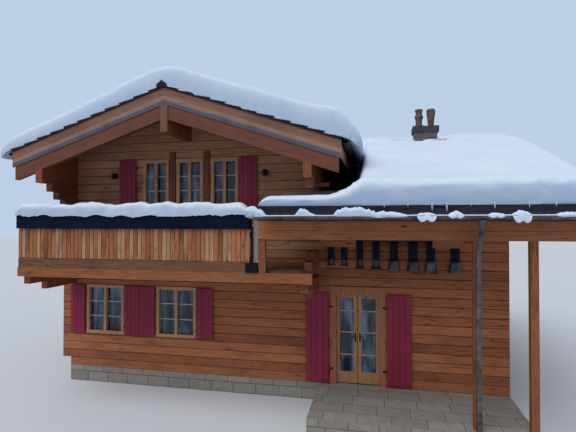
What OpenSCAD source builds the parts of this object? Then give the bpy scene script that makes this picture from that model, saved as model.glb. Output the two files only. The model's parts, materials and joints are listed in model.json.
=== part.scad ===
// Alpine chalet of squared logs: a gabled main block with a balcony, and a lower wing with a porch.
// Millimetres, +Z up. The origin is on the ground, at the middle of the main block's footprint.
// -Y is the entrance side with the balcony, +X is the side of the wing.

/* [Main block] */
// Outer width of the main block
main_w = 6400; // [5800:50:7000]
// Outer depth of the main block
main_d = 8000; // [7400:50:9000]
// Thickness of the log walls
wall_t = 160; // [120:10:200]
// Height of one log course
log_h = 200; // [160:5:240]
// Depth of the groove between two logs
log_groove = 9; // [4:1:14]
// Height of the masonry plinth
plinth_h = 380; // [300:10:500]
// Thickness of the boards on the plinth
floor_t = 20; // [15:1:30]
// Underside of the upper floor above ground
upper_z = 3200; // [3000:10:3400]
// Thickness of the upper floor
upper_t = 160; // [120:10:200]
// How far crossed log ends stand out at a corner
log_end = 230; // [150:10:300]

/* [Main roof] */
// Height of the tile ridge above ground
ridge_z = 6980; // [6800:10:7200]
// Rise over run of the roof
pitch = 0.335; // [0.30:0.005:0.37]
// Overhang of the eaves past the side walls
eave_out = 610; // [500:10:750]
// Overhang of the verges past the gable walls
verge_out = 1260; // [1000:10:1400]
// Thickness of tiles, battens and boarding together
roof_t = 150; // [110:5:180]
// Number of tile courses on one slope
courses = 11; // [9:1:13]
// Height of the step at the foot of a tile course
tile_step = 38; // [20:2:50]
// Height of the upper verge board
verge_top_h = 150; // [120:10:180]
// Height of the lower verge board
verge_low_h = 210; // [180:10:240]
// Thickness of a verge board
verge_board_t = 32; // [25:1:40]
// Height of the verge rafter below the boards
rafter_show = 300; // [240:10:340]
// Thickness of the verge rafter
rafter_t = 140; // [100:10:180]

/* [Purlins and corbels] */
// Width of the purlins
purlin_w = 172; // [150:2:200]
// Height of the purlins under the verge rafters
purlin_h = 290; // [240:10:330]
// Steps of the corbel under each eave purlin
eave_steps = 3; // [2:1:3]
// Steps of the corbel under the balcony beam
balcony_steps = 2; // [1:1:2]
// Height of one corbel log
corbel_h = 180; // [150:5:200]

/* [Wing] */
// Length of the wing from the main block to its far wall
wing_w = 4000; // [3600:50:4600]
// Height of the wing roof surface at the front wall
wing_eave_z = 4640; // [4500:10:4800]
// Rise over run of the wing roof
wing_pitch = 0.40; // [0.36:0.01:0.44]
// Thickness of the wing and porch roofs
wing_roof_t = 120; // [90:5:150]
// Overhang of the wing roof past its far wall
wing_verge = 900; // [700:10:1000]
// Overhang of the wing roof past its rear wall
wing_rear_out = 520; // [400:10:600]

/* [Porch] */
// Reach of the porch roof in front of the wall
porch_out = 2050; // [1900:10:2200]
// Height of the porch roof surface at its front edge
porch_eave_z = 4310; // [4250:10:4380]
// Distance from the right side wall back to the left end of the porch roof
porch_in = 920; // [700:10:1000]
// Distance of posts and lintel from the wall
post_out = 1650; // [1550:10:1800]
// Width of a porch post
post_w = 130; // [110:5:160]
// Distance from the right side wall to the middle of the downpipe post
post_mid_out = 3015; // [2400:5:3200]
// Height of each of the two lintel planks
lintel_h = 172; // [150:2:190]
// Underside of the lintel
lintel_z = 3690; // [3600:10:3760]
// Height of the board under the porch roof's front edge
fascia_h = 140; // [100:10:180]
// Thickness of this board
fascia_t = 24; // [18:1:30]
// Height of the board that covers the joint of porch roof and wall
joint_board_h = 90; // [60:5:100]
// Thickness of this board
joint_board_t = 40; // [25:1:50]

/* [Balcony] */
// Reach of the balcony beam in front of the wall
balcony_out = 1600; // [1400:10:1650]
// Underside of the balcony beam
beam_z = 2830; // [2750:10:2900]
// Height of the balcony beam
beam_h = 200; // [160:5:220]
// Thickness of the balcony beam
beam_t = 130; // [100:5:160]
// Thickness of the deck boards
deck_t = 45; // [30:1:60]
// Reach of the logs that lie on the deck's right end
deck_log_out = 1150; // [1000:10:1250]
// Height of the board panel with its foot board
panel_h = 850; // [780:10:900]
// Thickness of the board panel
panel_t = 32; // [24:1:40]
// Distance from the right side wall back to the end of the board panel
panel_in = 1150; // [1120:10:1300]
// Width of the post at the panel's right end
end_post_w = 105; // [90:5:120]
// Height of the block that this post stands on
end_block_h = 185; // [150:5:200]
// Height of the planter boxes on the panel
planter_h = 300; // [240:10:320]
// Depth of the planter boxes
planter_d = 230; // [180:10:260]

/* [Windows] */
// Width of a gable window
gable_win_w = 660; // [600:10:700]
// Distance between gable windows
gable_win_pitch = 890; // [860:5:940]
// Middle of the three gable windows
gable_win_x = 45; // [-50:5:80]
// Sill of the gable windows
gable_win_z = 4400; // [4350:10:4450]
// Height of the gable windows
gable_win_h = 1130; // [1050:10:1180]
// Width of a lower window
low_win_w = 1020; // [900:10:1100]
// Height of a lower window
low_win_h = 1200; // [1100:10:1220]
// Sill of the lower windows
low_win_z = 1230; // [1150:10:1240]
// Middle of the left lower window
low_win_a = -2220; // [-2250:5:-2150]
// Middle of the second lower window
low_win_b = -300; // [-350:5:-250]
// Width of the frame members
sash_w = 62; // [50:1:80]
// How far a casing stands out of the wall
casing_out = 25; // [15:1:28]
// Thickness of the glass
glass_t = 12; // [8:1:20]
// Width of the posts between the gable windows
gable_post_w = 150; // [120:5:180]
// How far these posts stand out of the wall
gable_post_out = 45; // [30:1:60]
// How far these posts reach above the window heads
gable_post_up = 200; // [150:10:260]

/* [Door] */
// Distance from the right side wall to the middle of the double door
door_out = 860; // [800:5:1000]
// Clear width between the jambs
door_w = 980; // [940:10:1040]
// Height of the door head above the plinth boards
door_h = 2000; // [1950:10:2040]
// Width of a jamb
jamb_w = 60; // [50:1:80]
// Width of the casing boards
casing_w = 60; // [50:1:80]
// Thickness of a door leaf
leaf_t = 42; // [38:1:46]
// Gap round a leaf
leaf_gap = 6; // [5:0.5:8]
// Gap between the two leaves
leaf_meet = 12; // [11:0.5:16]
// Width of a leaf's stiles
stile_w = 84; // [70:1:100]
// Height of a leaf's bottom rail
kick_h = 260; // [200:10:400]

/* [Shutters] */
// Thickness of a shutter
shutter_t = 34; // [28:1:38]
// Width of a door shutter
door_shutter_w = 510; // [460:10:520]
// Width of a gable shutter
gable_shutter_w = 445; // [400:5:460]
// Width of a lower window shutter
low_shutter_w = 405; // [360:5:420]
// Running clearance behind a closed shutter
shutter_gap = 9; // [6:1:12]
// Radius of a shutter pintle
pintle_r = 6; // [5:0.5:7]
// Running clearance of pins in their eyes
pin_gap = 0.3; // [0.2:0.05:0.5]

/* [Cow bells] */
// Height of the rod that the straps hang on
rod_z = 3560; // [3540:5:3600]
// Radius of the rod
rod_r = 16; // [12:1:20]
// Distance of the rod from the wall
rod_out = 155; // [150:5:170]
// Thickness of the bell metal
bell_t = 7; // [5:0.5:9]
// Thickness of the bell straps
strap_t = 9; // [6:0.5:12]
// How far the rail runs on past the outer bells
rail_past = 180; // [140:5:200]
// Height of the rail board
rail_h = 190; // [150:5:220]
// Thickness of the rail board
rail_t = 30; // [20:1:40]

/* [Rainwater] */
// Outer radius of the half-round gutter
gutter_r = 75; // [60:1:80]
// Wall of the gutter
gutter_t = 5; // [3:0.5:8]
// Radius of the downpipe
pipe_r = 45; // [38:1:50]

/* [Chimney] */
// Distance from the right side wall to the middle of the stack
stack_out = 2640; // [2400:10:2800]
// Distance of the stack's middle behind the front wall
stack_y = 3100; // [2900:10:3300]
// Width of the stack
stack_w = 620; // [560:10:700]
// Depth of the stack
stack_d = 480; // [420:10:560]
// Top of the stack's masonry
stack_z = 6560; // [6500:10:6700]
// Height of the cover slab
cover_h = 160; // [100:10:180]
// Height of the chimney pots
pot_h = 520; // [440:10:560]

/* [Snow] */
// Depth of snow on the main ridge
snow_ridge = 460; // [200:10:500]
// How far the snow hangs out past the main eaves
snow_out = 390; // [250:10:420]
// Depth of snow on the wing roof
snow_wing = 460; // [250:10:500]
// Depth of snow on the porch roof by the main block
snow_porch = 180; // [100:10:200]
// Depth of snow on the planter boxes
snow_rail = 290; // [150:10:320]

/* [Hidden] */

front = -main_d / 2;
rear = main_d / 2;
half_w = main_w / 2;
wing_x = half_w + wing_w;
floor_z = plinth_h + floor_t;
half_roof = half_w + eave_out;
verge_front = front - verge_out;
verge_rear = rear + verge_out;
// Vertical distances below the tile line
boards_down = 60;
rafter_down = boards_down + verge_top_h + verge_low_h + rafter_show;
purlin_down = rafter_down + purlin_h;
// Inner line of the eave purlins and the side walls they stand on
purlin_x = half_w - wall_t / 2;
eave_purlin_z = ridge_z - pitch * purlin_x - purlin_down;
wing_ridge_y = front + main_d / 2;
wing_ridge_z = wing_eave_z + wing_pitch * main_d / 2;
wing_end = wing_x + wing_verge;
// Places along the front, from the right side wall
porch_x0 = half_w - porch_in;
porch_edge = front - porch_out;
panel_x1 = half_w - panel_in;
door_x = half_w + door_out;
post_mid_x = half_w + post_mid_out;
stack_x = half_w + stack_out;
door_z = floor_z + door_h;
door_half = door_w / 2;
lintel_top = lintel_z + 2 * lintel_h;
deck_z = beam_z + beam_h;
panel_z = deck_z;
planter_z = panel_z + panel_h;
// How far the planter boxes hang out in front of the panel
planter_over = 60;
shutter_y = front - casing_out - shutter_gap - shutter_t / 2;
eps = 1;
// Half the joint where two verge boards meet at the ridge
plumb_gap = 1;
// Room left in a notch or rebate that another timber fits
fit_gap = 0.3;
// Reach of the half spaces that trim walls and timbers to the roofs
far = main_w + main_d;

// Height of the main roof's tile line at a distance from the ridge
function tile_z(x) = ridge_z - pitch * abs(x);

// Height of the porch roof's surface at a place in front of the wall
function porch_line(y) = wing_eave_z - (front - y) * (wing_eave_z - porch_eave_z) / porch_out;

// A prism along Y from a polygon of [x, z] points
module along_y(y0, y1) {
    translate([0, y1, 0]) rotate([90, 0, 0]) linear_extrude(y1 - y0) children();
}

// A prism along X from a polygon of [y, z] points
module along_x(x0, x1) {
    translate([x0, 0, 0]) rotate([90, 0, 90]) linear_extrude(x1 - x0) children();
}

// A block from its lowest and highest corners
module block(low, high) {
    translate(low) cube(high - low);
}

// Everything below a line parallel to the main roof, at a vertical distance below the tiles
module below_main_roof(down) {
    along_y(-far, far)
        polygon([[-far, -far], [far, -far], [far, tile_z(far) - down], [0, ridge_z - down],
            [-far, tile_z(far) - down]]);
}

// Everything below the wing roof, at a vertical distance below its surface
module below_wing_roof(down) {
    along_x(-far, far)
        polygon([[-far, -far], [far, -far], [far, wing_ridge_z - far * wing_pitch - down],
            [wing_ridge_y, wing_ridge_z - down], [-far, wing_ridge_z - far * wing_pitch - down]]);
}

// The tiles, boards and snow of the main roof, as far as its eaves
module above_main_boards() difference() {
    block([-half_roof, verge_front, 0], [half_roof, verge_rear, far]);
    below_main_roof(roof_t);
}

// A wall of squared logs from x = 0 to len, outer face at y = 0, with a groove at each course
module log_wall(len, z0, z1, t = wall_t) {
    first = floor((z0 - plinth_h) / log_h) + 1;
    last = ceil((z1 - plinth_h) / log_h) - 1;
    seams = [for (k = [first:1:last]) plinth_h + k * log_h];
    face = [for (z = seams) each [[0, z - log_groove], [log_groove, z], [0, z + log_groove]]];
    along_x(0, len) polygon(concat([[t, z1], [t, z0], [0, z0]], face, [[0, z1]]));
}

// Places of walls: front and rear faces look along Y, the others along X
module on_front(x0) { translate([x0, front, 0]) children(); }
module on_rear(x1) { translate([x1, rear, 0]) rotate([0, 0, 180]) children(); }
module on_left(y1) { translate([-half_w, y1, 0]) rotate([0, 0, -90]) children(); }
module on_right(x, y0) { translate([x, y0, 0]) rotate([0, 0, 90]) children(); }

// Windows: [wall, middle along the wall, sill, width, height]
gable_wins = [for (i = [-1:1]) [gable_win_x + i * gable_win_pitch, gable_win_z, gable_win_w, gable_win_h]];
low_wins = [for (x = [low_win_a, low_win_b]) [x, low_win_z, low_win_w, low_win_h]];
// Windows of the sides that repeat the front, at distances from the front wall
side_win_ys = [front + main_d * 0.3, front + main_d * 0.7];
side_wins = [for (y = side_win_ys) each [[y, low_win_z, low_win_w, low_win_h],
    [y, upper_z + upper_t + low_win_z - floor_z, gable_win_w, gable_win_h]]];
wing_end_wins = [for (y = side_win_ys) [y, low_win_z, low_win_w, low_win_h]];
wing_rear_win = [half_w + wing_w / 2, low_win_z, low_win_w, low_win_h];

// The space of one window: w = [middle, sill, width, height], through a wall that starts at y = 0
module window_cut(w) {
    block([w[0] - w[2] / 2, -casing_out - 50, w[1]], [w[0] + w[2] / 2, wall_t + 50, w[1] + w[3]]);
}

// Frame and casing of one window, with two casements beside a mullion
module window_frame(w) {
    inset = 12;
    translate([w[0] - w[2] / 2, 0, w[1]]) difference() {
        union() {
            block([0, 20, 0], [w[2], wall_t - inset, w[3]]);
            block([0, -casing_out, 0], [w[2], 20, w[3]]);
            block([-inset, -casing_out, -inset], [w[2] + inset, 0, w[3] + inset]);
        }
        leaves = 2;
        pane = (w[2] - (leaves + 1) * sash_w) / leaves;
        for (i = [0:leaves - 1])
            block([sash_w + i * (pane + sash_w), -casing_out - 50, sash_w],
                [sash_w + i * (pane + sash_w) + pane, wall_t + 50, w[3] - sash_w]);
        block([sash_w - 22, 60, sash_w - 22], [w[2] - sash_w + 22, 60 + glass_t, w[3] - sash_w + 22]);
    }
}

// Glass of one window, set in the groove of its frame
module window_pane(w) {
    translate([w[0] - w[2] / 2, 0, w[1]])
        block([sash_w - 22, 60, sash_w - 22], [w[2] - sash_w + 22, 60 + glass_t, w[3] - sash_w + 22]);
}

// Places of all windows, for their cuts, frames and panes
module at_front_wins(wins) { for (w = wins) on_front(0) window_kind(w) children(); }
module window_kind(w) { $w = w; children(); }
module at_rear_wins(wins) { for (w = wins) on_rear(0) window_kind([-w[0], w[1], w[2], w[3]]) children(); }
module at_left_wins(wins) { for (w = wins) on_left(0) window_kind([-w[0], w[1], w[2], w[3]]) children(); }
module at_end_wins(wins) { for (w = wins) on_right(wing_x, 0) window_kind(w) children(); }

module foundation() color("gray") {
    block([-half_w, front, 0], [wing_x, rear, plinth_h]);
    block([half_w, front - porch_out + 200, 0], [wing_x, front, plinth_h]);
}

module ground_floor() color("burlywood") {
    block([-half_w + wall_t, front + wall_t, plinth_h], [half_w - wall_t, rear - wall_t, floor_z]);
    block([half_w, front + wall_t, plinth_h], [wing_x - wall_t, rear - wall_t, floor_z]);
}

module upper_floor() color("burlywood")
    block([-half_w + wall_t, front + wall_t, upper_z], [half_w - wall_t, rear - wall_t, upper_z + upper_t]);

module front_wall() color("peru") difference() {
    on_front(-half_w) log_wall(main_w, plinth_h, upper_z);
    at_front_wins(low_wins) window_cut($w);
}

// The upper front wall under the roof, notched for the ridge purlin
module front_gable() color("sienna") difference() {
    intersection() {
        on_front(-half_w) log_wall(main_w, upper_z, ridge_z);
        below_main_roof(roof_t);
    }
    at_front_wins(gable_wins) window_cut($w);
    ridge_purlin_body();
}

module left_wall() color("peru") difference() {
    intersection() {
        on_left(rear - wall_t) log_wall(main_d - 2 * wall_t, plinth_h, ridge_z);
        below_main_roof(roof_t);
    }
    at_left_wins(side_wins) window_cut($w);
}

module right_wall() color("peru") intersection() {
    on_right(half_w, front + wall_t) log_wall(main_d - 2 * wall_t, plinth_h, ridge_z);
    below_main_roof(roof_t);
}

module rear_wall() color("peru") difference() {
    intersection() {
        on_rear(half_w) log_wall(main_w, plinth_h, ridge_z);
        below_main_roof(roof_t);
    }
    at_rear_wins(concat(low_wins, gable_wins)) window_cut($w);
    ridge_purlin_body();
}

module wing_wall_beside_door() color("peru") intersection() {
    on_front(half_w) log_wall(door_x - door_half - jamb_w - half_w, plinth_h, wing_eave_z);
    below_wing_roof(wing_roof_t);
}

module wing_front_wall() color("peru") intersection() {
    on_front(door_x + door_half + jamb_w)
        log_wall(wing_x - door_x - door_half - jamb_w, plinth_h, wing_eave_z);
    below_wing_roof(wing_roof_t);
}

module wing_wall_over_door() color("peru") intersection() {
    on_front(door_x - door_half - jamb_w) log_wall(door_w + 2 * jamb_w, door_z + jamb_w, wing_eave_z);
    below_wing_roof(wing_roof_t);
}

module wing_end_wall() color("peru") difference() {
    intersection() {
        on_right(wing_x, front + wall_t) log_wall(main_d - 2 * wall_t, plinth_h, wing_ridge_z);
        below_wing_roof(wing_roof_t);
    }
    at_end_wins(wing_end_wins) window_cut($w);
    wing_purlin_bodies();
}

module wing_rear_wall() color("peru") difference() {
    intersection() {
        on_rear(wing_x) log_wall(wing_w, plinth_h, wing_eave_z);
        below_wing_roof(wing_roof_t);
    }
    on_rear(0) window_cut([-wing_rear_win[0], wing_rear_win[1], wing_rear_win[2], wing_rear_win[3]]);
}

// Ends of the front and rear logs that cross the side walls
module crossed_log_ends() color("peru") {
    side_top = eave_purlin_z;
    for (end = [0, 1]) {
        translate([-half_w - log_end, end == 0 ? front : rear - wall_t, 0])
            log_wall(log_end, plinth_h + log_h, side_top);
        translate([half_w, end == 0 ? front : rear - wall_t, 0])
            log_wall(log_end, wing_eave_z + log_h * 0.9, side_top);
    }
}

// One stepped corbel of log ends: the longest at the top, under z, on a side wall
module corbel(z, reach, steps) {
    c = log_groove;
    w = wall_t / 2;
    for (i = [0:steps - 1]) {
        z0 = z - (i + 1) * corbel_h;
        z1 = z0 + corbel_h;
        along_y(-reach * (1 - i / (steps + 1)), 0) polygon([[-w + c, z0], [w - c, z0], [w, z0 + c],
            [w, z1 - c], [w - c, z1], [-w + c, z1], [-w, z1 - c], [-w, z0 + c]]);
    }
}

module corbel_logs() color("sienna") {
    for (side = [-1, 1]) translate([side * purlin_x, 0, 0]) {
        translate([0, front, 0]) {
            corbel(eave_purlin_z, verge_out - 360, side < 0 ? eave_steps : 1);
            corbel(beam_z, balcony_out - 60, balcony_steps);
        }
        translate([0, rear, 0]) rotate([0, 0, 180]) corbel(eave_purlin_z, verge_out - 360, 1);
    }
    deck_logs();
}

// Two logs of the right side wall that run on over the deck, the upper one shorter
module deck_logs() for (i = [0, 1])
    block([purlin_x - wall_t / 2, front - deck_log_out * (1 - 0.3 * i), deck_z + i * corbel_h],
        [purlin_x + wall_t / 2, front, deck_z + (i + 1) * corbel_h - i * fit_gap]);

// The ridge purlin before it is trimmed to the roof
module ridge_purlin_body()
    block([-purlin_w / 2, verge_front + verge_board_t, ridge_z - purlin_down],
        [purlin_w / 2, verge_rear - verge_board_t, ridge_z]);

module wing_purlin_bodies() {
    block([half_w, wing_ridge_y - purlin_w / 2, wing_ridge_z - wing_roof_t - purlin_h],
        [wing_end - 60, wing_ridge_y + purlin_w / 2, wing_ridge_z]);
}

// Region taken by the verge rafters, front and rear
module rafter_zone(grow = 0)
    for (y = [verge_front + verge_board_t, verge_rear - verge_board_t - rafter_t])
        difference() {
            block([-half_roof - 50, y - grow, 4000], [half_roof + 50, y + rafter_t + grow, ridge_z]);
            below_main_roof(rafter_down + fit_gap);
        }

module purlins() color("saddlebrown") {
    difference() {
        intersection() {
            ridge_purlin_body();
            below_main_roof(roof_t);
        }
        rafter_zone();
    }
    difference() {
        intersection() {
            wing_purlin_bodies();
            below_wing_roof(wing_roof_t);
        }
        above_main_boards();
    }
    // Each eave purlin reaches up to the roof boards and is notched under the rafter
    for (side = [-1, 1]) {
        x = side * purlin_x;
        difference() {
            intersection() {
                union() {
                    block([x - purlin_w / 2, verge_front + verge_board_t, eave_purlin_z],
                        [x + purlin_w / 2, front, ridge_z]);
                    block([x - purlin_w / 2, rear, eave_purlin_z],
                        [x + purlin_w / 2, verge_rear - verge_board_t, ridge_z]);
                }
                below_main_roof(roof_t);
            }
            rafter_zone();
        }
    }
}

module verge_rafters() color("sienna")
    for (y = [verge_front + verge_board_t, verge_rear - verge_board_t - rafter_t])
        for (side = [-1, 1]) along_y(y, y + rafter_t) roof_band(roof_t, rafter_down, half_roof - 60, side);

// A band along one slope of the main roof, between two vertical distances below the tiles
module roof_band(down0, down1, half, side) {
    polygon([for (p = [[plumb_gap, down0], [half, down0], [half, down1], [plumb_gap, down1]])
        [side * p[0], tile_z(p[0]) - p[1]]]);
}

module verge_boards() color("rosybrown") {
    low_t = verge_board_t * 0.6;
    low_board = boards_down + verge_top_h;
    for (end = [0, 1]) {
        y = end == 0 ? verge_front : verge_rear - verge_board_t;
        y_low = end == 0 ? verge_front + verge_board_t - low_t : verge_rear - verge_board_t;
        for (side = [-1, 1]) {
            along_y(y, y + verge_board_t)
                roof_band(boards_down, boards_down + verge_top_h, half_roof, side);
            along_y(y_low, y_low + low_t)
                roof_band(low_board, low_board + verge_low_h, half_roof, side);
        }
    }
    for (s = [-1, 1]) along_x(wing_end - verge_board_t, wing_end) translate([wing_ridge_y, 0])
        polygon([for (p = [[plumb_gap, 0], [main_d / 2, 0], [main_d / 2, 1], [plumb_gap, 1]])
            [s * p[0], wing_ridge_z - wing_roof_t - wing_pitch * p[0] - p[1] * verge_top_h]]);
}

// Stepped tile courses on boarding, from the ridge to one eave
module main_slope(side) {
    run = half_roof / courses;
    steps = [for (i = [0:courses - 1]) each [[i * run, tile_z(i * run) - tile_step],
        [(i + 1) * run, tile_z((i + 1) * run)]]];
    inner = verge_front + verge_board_t;
    outline = concat(steps, [[half_roof, tile_z(half_roof) - roof_t], [0, ridge_z - roof_t]]);
    mirror([side < 0 ? 1 : 0, 0, 0]) difference() {
        along_y(verge_front - 25, verge_rear + 25) polygon(outline);
        for (y = [verge_front - 30, verge_rear - verge_board_t])
            along_y(y, y + verge_board_t + 30) polygon([
                [-eps, ridge_z + pitch * eps - boards_down + fit_gap],
                [half_roof + eps, tile_z(half_roof + eps) - boards_down + fit_gap],
                [half_roof + eps, floor_z], [-eps, floor_z]]);
    }
}

module main_roof_left() color("dimgray") main_slope(-1);

module main_roof_right() color("dimgray") {
    main_slope(1);
}

module porch_roof() color("dimgray") along_x(porch_x0, wing_end) polygon([
    [front, wing_eave_z], [porch_edge, porch_eave_z],
    [porch_edge, porch_eave_z - wing_roof_t], [front, wing_eave_z - wing_roof_t]]);

// The board behind the porch gutter, and the one over the joint of porch roof and wall
module porch_fascia() color("saddlebrown") {
    head = porch_eave_z - wing_roof_t - fit_gap;
    block([porch_x0, porch_edge, head - fascia_h], [wing_end, porch_edge + fascia_t, head]);
    along_x(porch_x0 + joint_board_h, half_roof + gutter_r) polygon([[front, wing_eave_z + fit_gap],
        [front - joint_board_t, porch_line(front - joint_board_t) + fit_gap],
        [front - joint_board_t, wing_eave_z + joint_board_h * 0.8], [front, wing_eave_z + joint_board_h]]);
}

// One slope of the wing roof, up to the main roof and its side wall
module wing_slope(side) {
    out = side < 0 ? 0 : wing_rear_out;
    foot = side * (main_d / 2 + out);
    foot_z = wing_ridge_z - wing_pitch * abs(foot);
    difference() {
        along_x(0, wing_end) translate([wing_ridge_y, 0]) polygon([[0, wing_ridge_z],
            [foot, foot_z], [foot, foot_z - wing_roof_t], [0, wing_ridge_z - wing_roof_t]]);
        intersection() {
            below_main_roof(0);
            block([-half_w, front - wall_t, 0], [half_w, verge_rear + wall_t, far]);
        }
        difference() {
            intersection() {
                below_main_roof(0);
                block([-half_w, front - wall_t, 0], [half_roof, verge_rear + wall_t, far]);
            }
            below_main_roof(roof_t);
        }
        chimney_shaft();
    }
}

module wing_roof_front() color("dimgray") wing_slope(-1);
module wing_roof_rear() color("dimgray") wing_slope(1);

// A half-round gutter from x = 0 to len, fixed by its brackets to the board at y = gutter_r
module gutter(len) {
    rotate([90, 0, 90]) linear_extrude(len) difference() {
        circle(gutter_r, $fn = 48);
        circle(gutter_r - gutter_t, $fn = 48);
        translate([-gutter_r - eps, 0]) square([2 * gutter_r + 2 * eps, gutter_r + eps]);
    }
    spans = ceil(len / bracket_pitch);
    for (i = [1:spans])
        translate([(i - 0.5) * len / spans, 0, 0])
            block([-bracket_w / 2, gutter_r - gutter_t + eps, -bracket_h / 4],
                [bracket_w / 2, gutter_r, bracket_h / 2]);
}

gutter_z = porch_eave_z - wing_roof_t - 60;
bracket_pitch = 900;
bracket_w = 24;
bracket_h = 60;
// Place of the gutters at the main eaves, and where the wing's snow ends the right ones
main_gutter_z = tile_z(half_roof) - roof_t * 0.4;
main_gutter_end = verge_front + 2 * verge_board_t;
wing_snow_y = (wing_ridge_z - main_gutter_z + 2 * gutter_r) / wing_pitch;
bend_r = 110;
bend_a = 45;
funnel_h = 130;
module gutters() color("slategray") {
    translate([porch_x0, porch_edge - gutter_r, gutter_z]) gutter(wing_end - porch_x0);
    translate([-half_roof - gutter_r, -main_gutter_end, main_gutter_z]) rotate([0, 0, -90])
        gutter(-2 * main_gutter_end);
    for (y = [main_gutter_end, wing_snow_y])
        translate([half_roof + gutter_r, y, main_gutter_z]) rotate([0, 0, 90])
            gutter(-main_gutter_end - wing_snow_y);
}

// A pipe bend of an angle, from straight up at z = 0 towards -y, or back again when it is turned over
module pipe_bend(angle) {
    translate([0, -bend_r, 0]) rotate([90, 0, 90]) rotate_extrude(angle = angle, $fn = 48)
        translate([bend_r, 0]) circle(pipe_r, $fn = 48);
}

// A pipe down the front of the porch post, with a swan neck to the outlet under the gutter.
// Its lengths are plugged into each other, so that each is a solid of its own.
module downpipe() color("slategray") {
    y = front - post_out - post_w / 2 - pipe_r - 15;
    y_gutter = porch_edge - gutter_r;
    straight = (y - y_gutter - 2 * bend_r * (1 - cos(bend_a))) / sin(bend_a);
    neck_drop = 2 * bend_r * sin(bend_a) + straight * cos(bend_a);
    outlet_z = gutter_z - gutter_r - pin_gap;
    bend_z = outlet_z - funnel_h - neck_drop;
    translate([post_mid_x, y, plinth_h]) cylinder(h = bend_z - plinth_h - pin_gap, r = pipe_r, $fn = 48);
    translate([post_mid_x, y, bend_z]) {
        pipe_bend(bend_a);
        translate([0, -bend_r * (1 - cos(bend_a)), bend_r * sin(bend_a)]) rotate([bend_a, 0, 0])
            translate([0, 0, pin_gap]) cylinder(h = straight - 2 * pin_gap, r = pipe_r, $fn = 48);
    }
    translate([post_mid_x, y_gutter, bend_z + neck_drop]) {
        rotate([180, 0, 0]) pipe_bend(bend_a);
        translate([0, 0, pin_gap])
            cylinder(h = funnel_h - pin_gap, r1 = pipe_r, r2 = pipe_r * 1.6, $fn = 48);
    }
}

module chimney_shaft() block([stack_x - stack_w / 2, front + stack_y - stack_d / 2, floor_z],
    [stack_x + stack_w / 2, front + stack_y + stack_d / 2, stack_z]);

module chimney_stack() color("dimgray") {
    chimney_shaft();
    over = 45;
    block([stack_x - stack_w / 2 - over, front + stack_y - stack_d / 2 - over, stack_z],
        [stack_x + stack_w / 2 + over, front + stack_y + stack_d / 2 + over, stack_z + cover_h]);
}

// Distance of the pots from the stack's middle, and the radius of their bores
pot_apart = 165;
flue_r = 62;

// One chimney pot, turned from its outline
module pot(outer, bore) translate([0, 0, stack_z + cover_h]) rotate_extrude($fn = 64)
    polygon(concat([[bore, 0]], outer, [[bore, outer[len(outer) - 1][1]]]));

module chimney_pots() color("sienna") {
    translate([stack_x - pot_apart, front + stack_y, 0]) pot([[105, 0], [115, 60], [88, 110], [92, 230],
        [118, 280], [118, 330], [90, 380], [90, pot_h - 60], [108, pot_h - 50], [108, pot_h]], flue_r);
    translate([stack_x + pot_apart, front + stack_y, 0]) pot([[84, 0], [84, 70], [100, 260],
        [122, pot_h - 120], [122, pot_h - 30], [100, pot_h]], flue_r);
}

module balcony_deck() color("peru")
    block([-half_w, front - balcony_out + beam_t / 2, deck_z],
        [purlin_x - wall_t / 2 - fit_gap, front, deck_z + deck_t]);

module balcony_beam() color("sienna") {
    block([-half_w - 60, front - balcony_out - beam_t / 2, beam_z],
        [half_w + 80, front - balcony_out + beam_t / 2, deck_z]);
}

module balcony_panel() color("chocolate") {
    y = front - balcony_out - beam_t / 2;
    block([-half_w - 40, y, panel_z], [panel_x1, y + panel_t, planter_z]);
    block([-half_w - 40, y + panel_t, panel_z + deck_t], [-half_w - 40 + panel_t, front, planter_z]);
}

// The post that ends the board panel, on a block laid on the beam
module balcony_end_post() color("dimgray") {
    y = front - balcony_out - beam_t / 2;
    x0 = panel_x1 + 20;
    block([x0 - end_post_w, y - 25, deck_z], [x0 + end_post_w + 40, y - fit_gap, deck_z + end_block_h]);
    block([x0, y - fit_gap, deck_z], [x0 + end_post_w, y + end_post_w, planter_z + 50]);
}

module planter_boxes() color("dimgray") {
    y = front - balcony_out - beam_t / 2 - planter_over;
    block([-half_w - 40, y, planter_z], [panel_x1, y + planter_d, planter_z + planter_h]);
}

module porch_posts() color("sienna") {
    y0 = front - post_out - post_w / 2;
    y1 = y0 + post_w;
    block([porch_x0 - 40, y0 + post_w * 0.3, deck_z], [porch_x0 + 90, y1, lintel_z]);
    block([post_mid_x - post_w / 2, y0, plinth_h], [post_mid_x + post_w / 2, y1, lintel_z]);
    block([wing_x - post_w, y0, plinth_h], [wing_x, y1, lintel_z]);
}

module porch_lintel() color("chocolate") {
    y0 = front - post_out - post_w / 2;
    along_x(porch_x0 - 40, wing_end - 80) polygon([[y0 + post_w, lintel_z], [y0, lintel_z],
        [y0, lintel_z + lintel_h - 8], [y0 + 8, lintel_z + lintel_h], [y0, lintel_z + lintel_h + 8],
        [y0, lintel_top], [y0 + post_w, lintel_top]]);
}

module window_frames() color("tan") {
    at_front_wins(concat(low_wins, gable_wins)) window_frame($w);
    at_rear_wins(concat(low_wins, gable_wins)) window_frame($w);
    at_left_wins(side_wins) window_frame($w);
    at_end_wins(wing_end_wins) window_frame($w);
    at_rear_wins([wing_rear_win]) window_frame($w);
}

module window_glass() color("steelblue", 0.5) {
    at_front_wins(concat(low_wins, gable_wins)) window_pane($w);
    at_rear_wins(concat(low_wins, gable_wins)) window_pane($w);
    at_left_wins(side_wins) window_pane($w);
    at_end_wins(wing_end_wins) window_pane($w);
    at_rear_wins([wing_rear_win]) window_pane($w);
}

// Depths of the door frame's stop, rebate and hinge space behind the wall's face
stop_y = 52;
leaf_y = 60;
rebate_y = leaf_y + leaf_t - 4;
axis_y = leaf_y + leaf_t + 10;
stop_w = 14;

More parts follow.
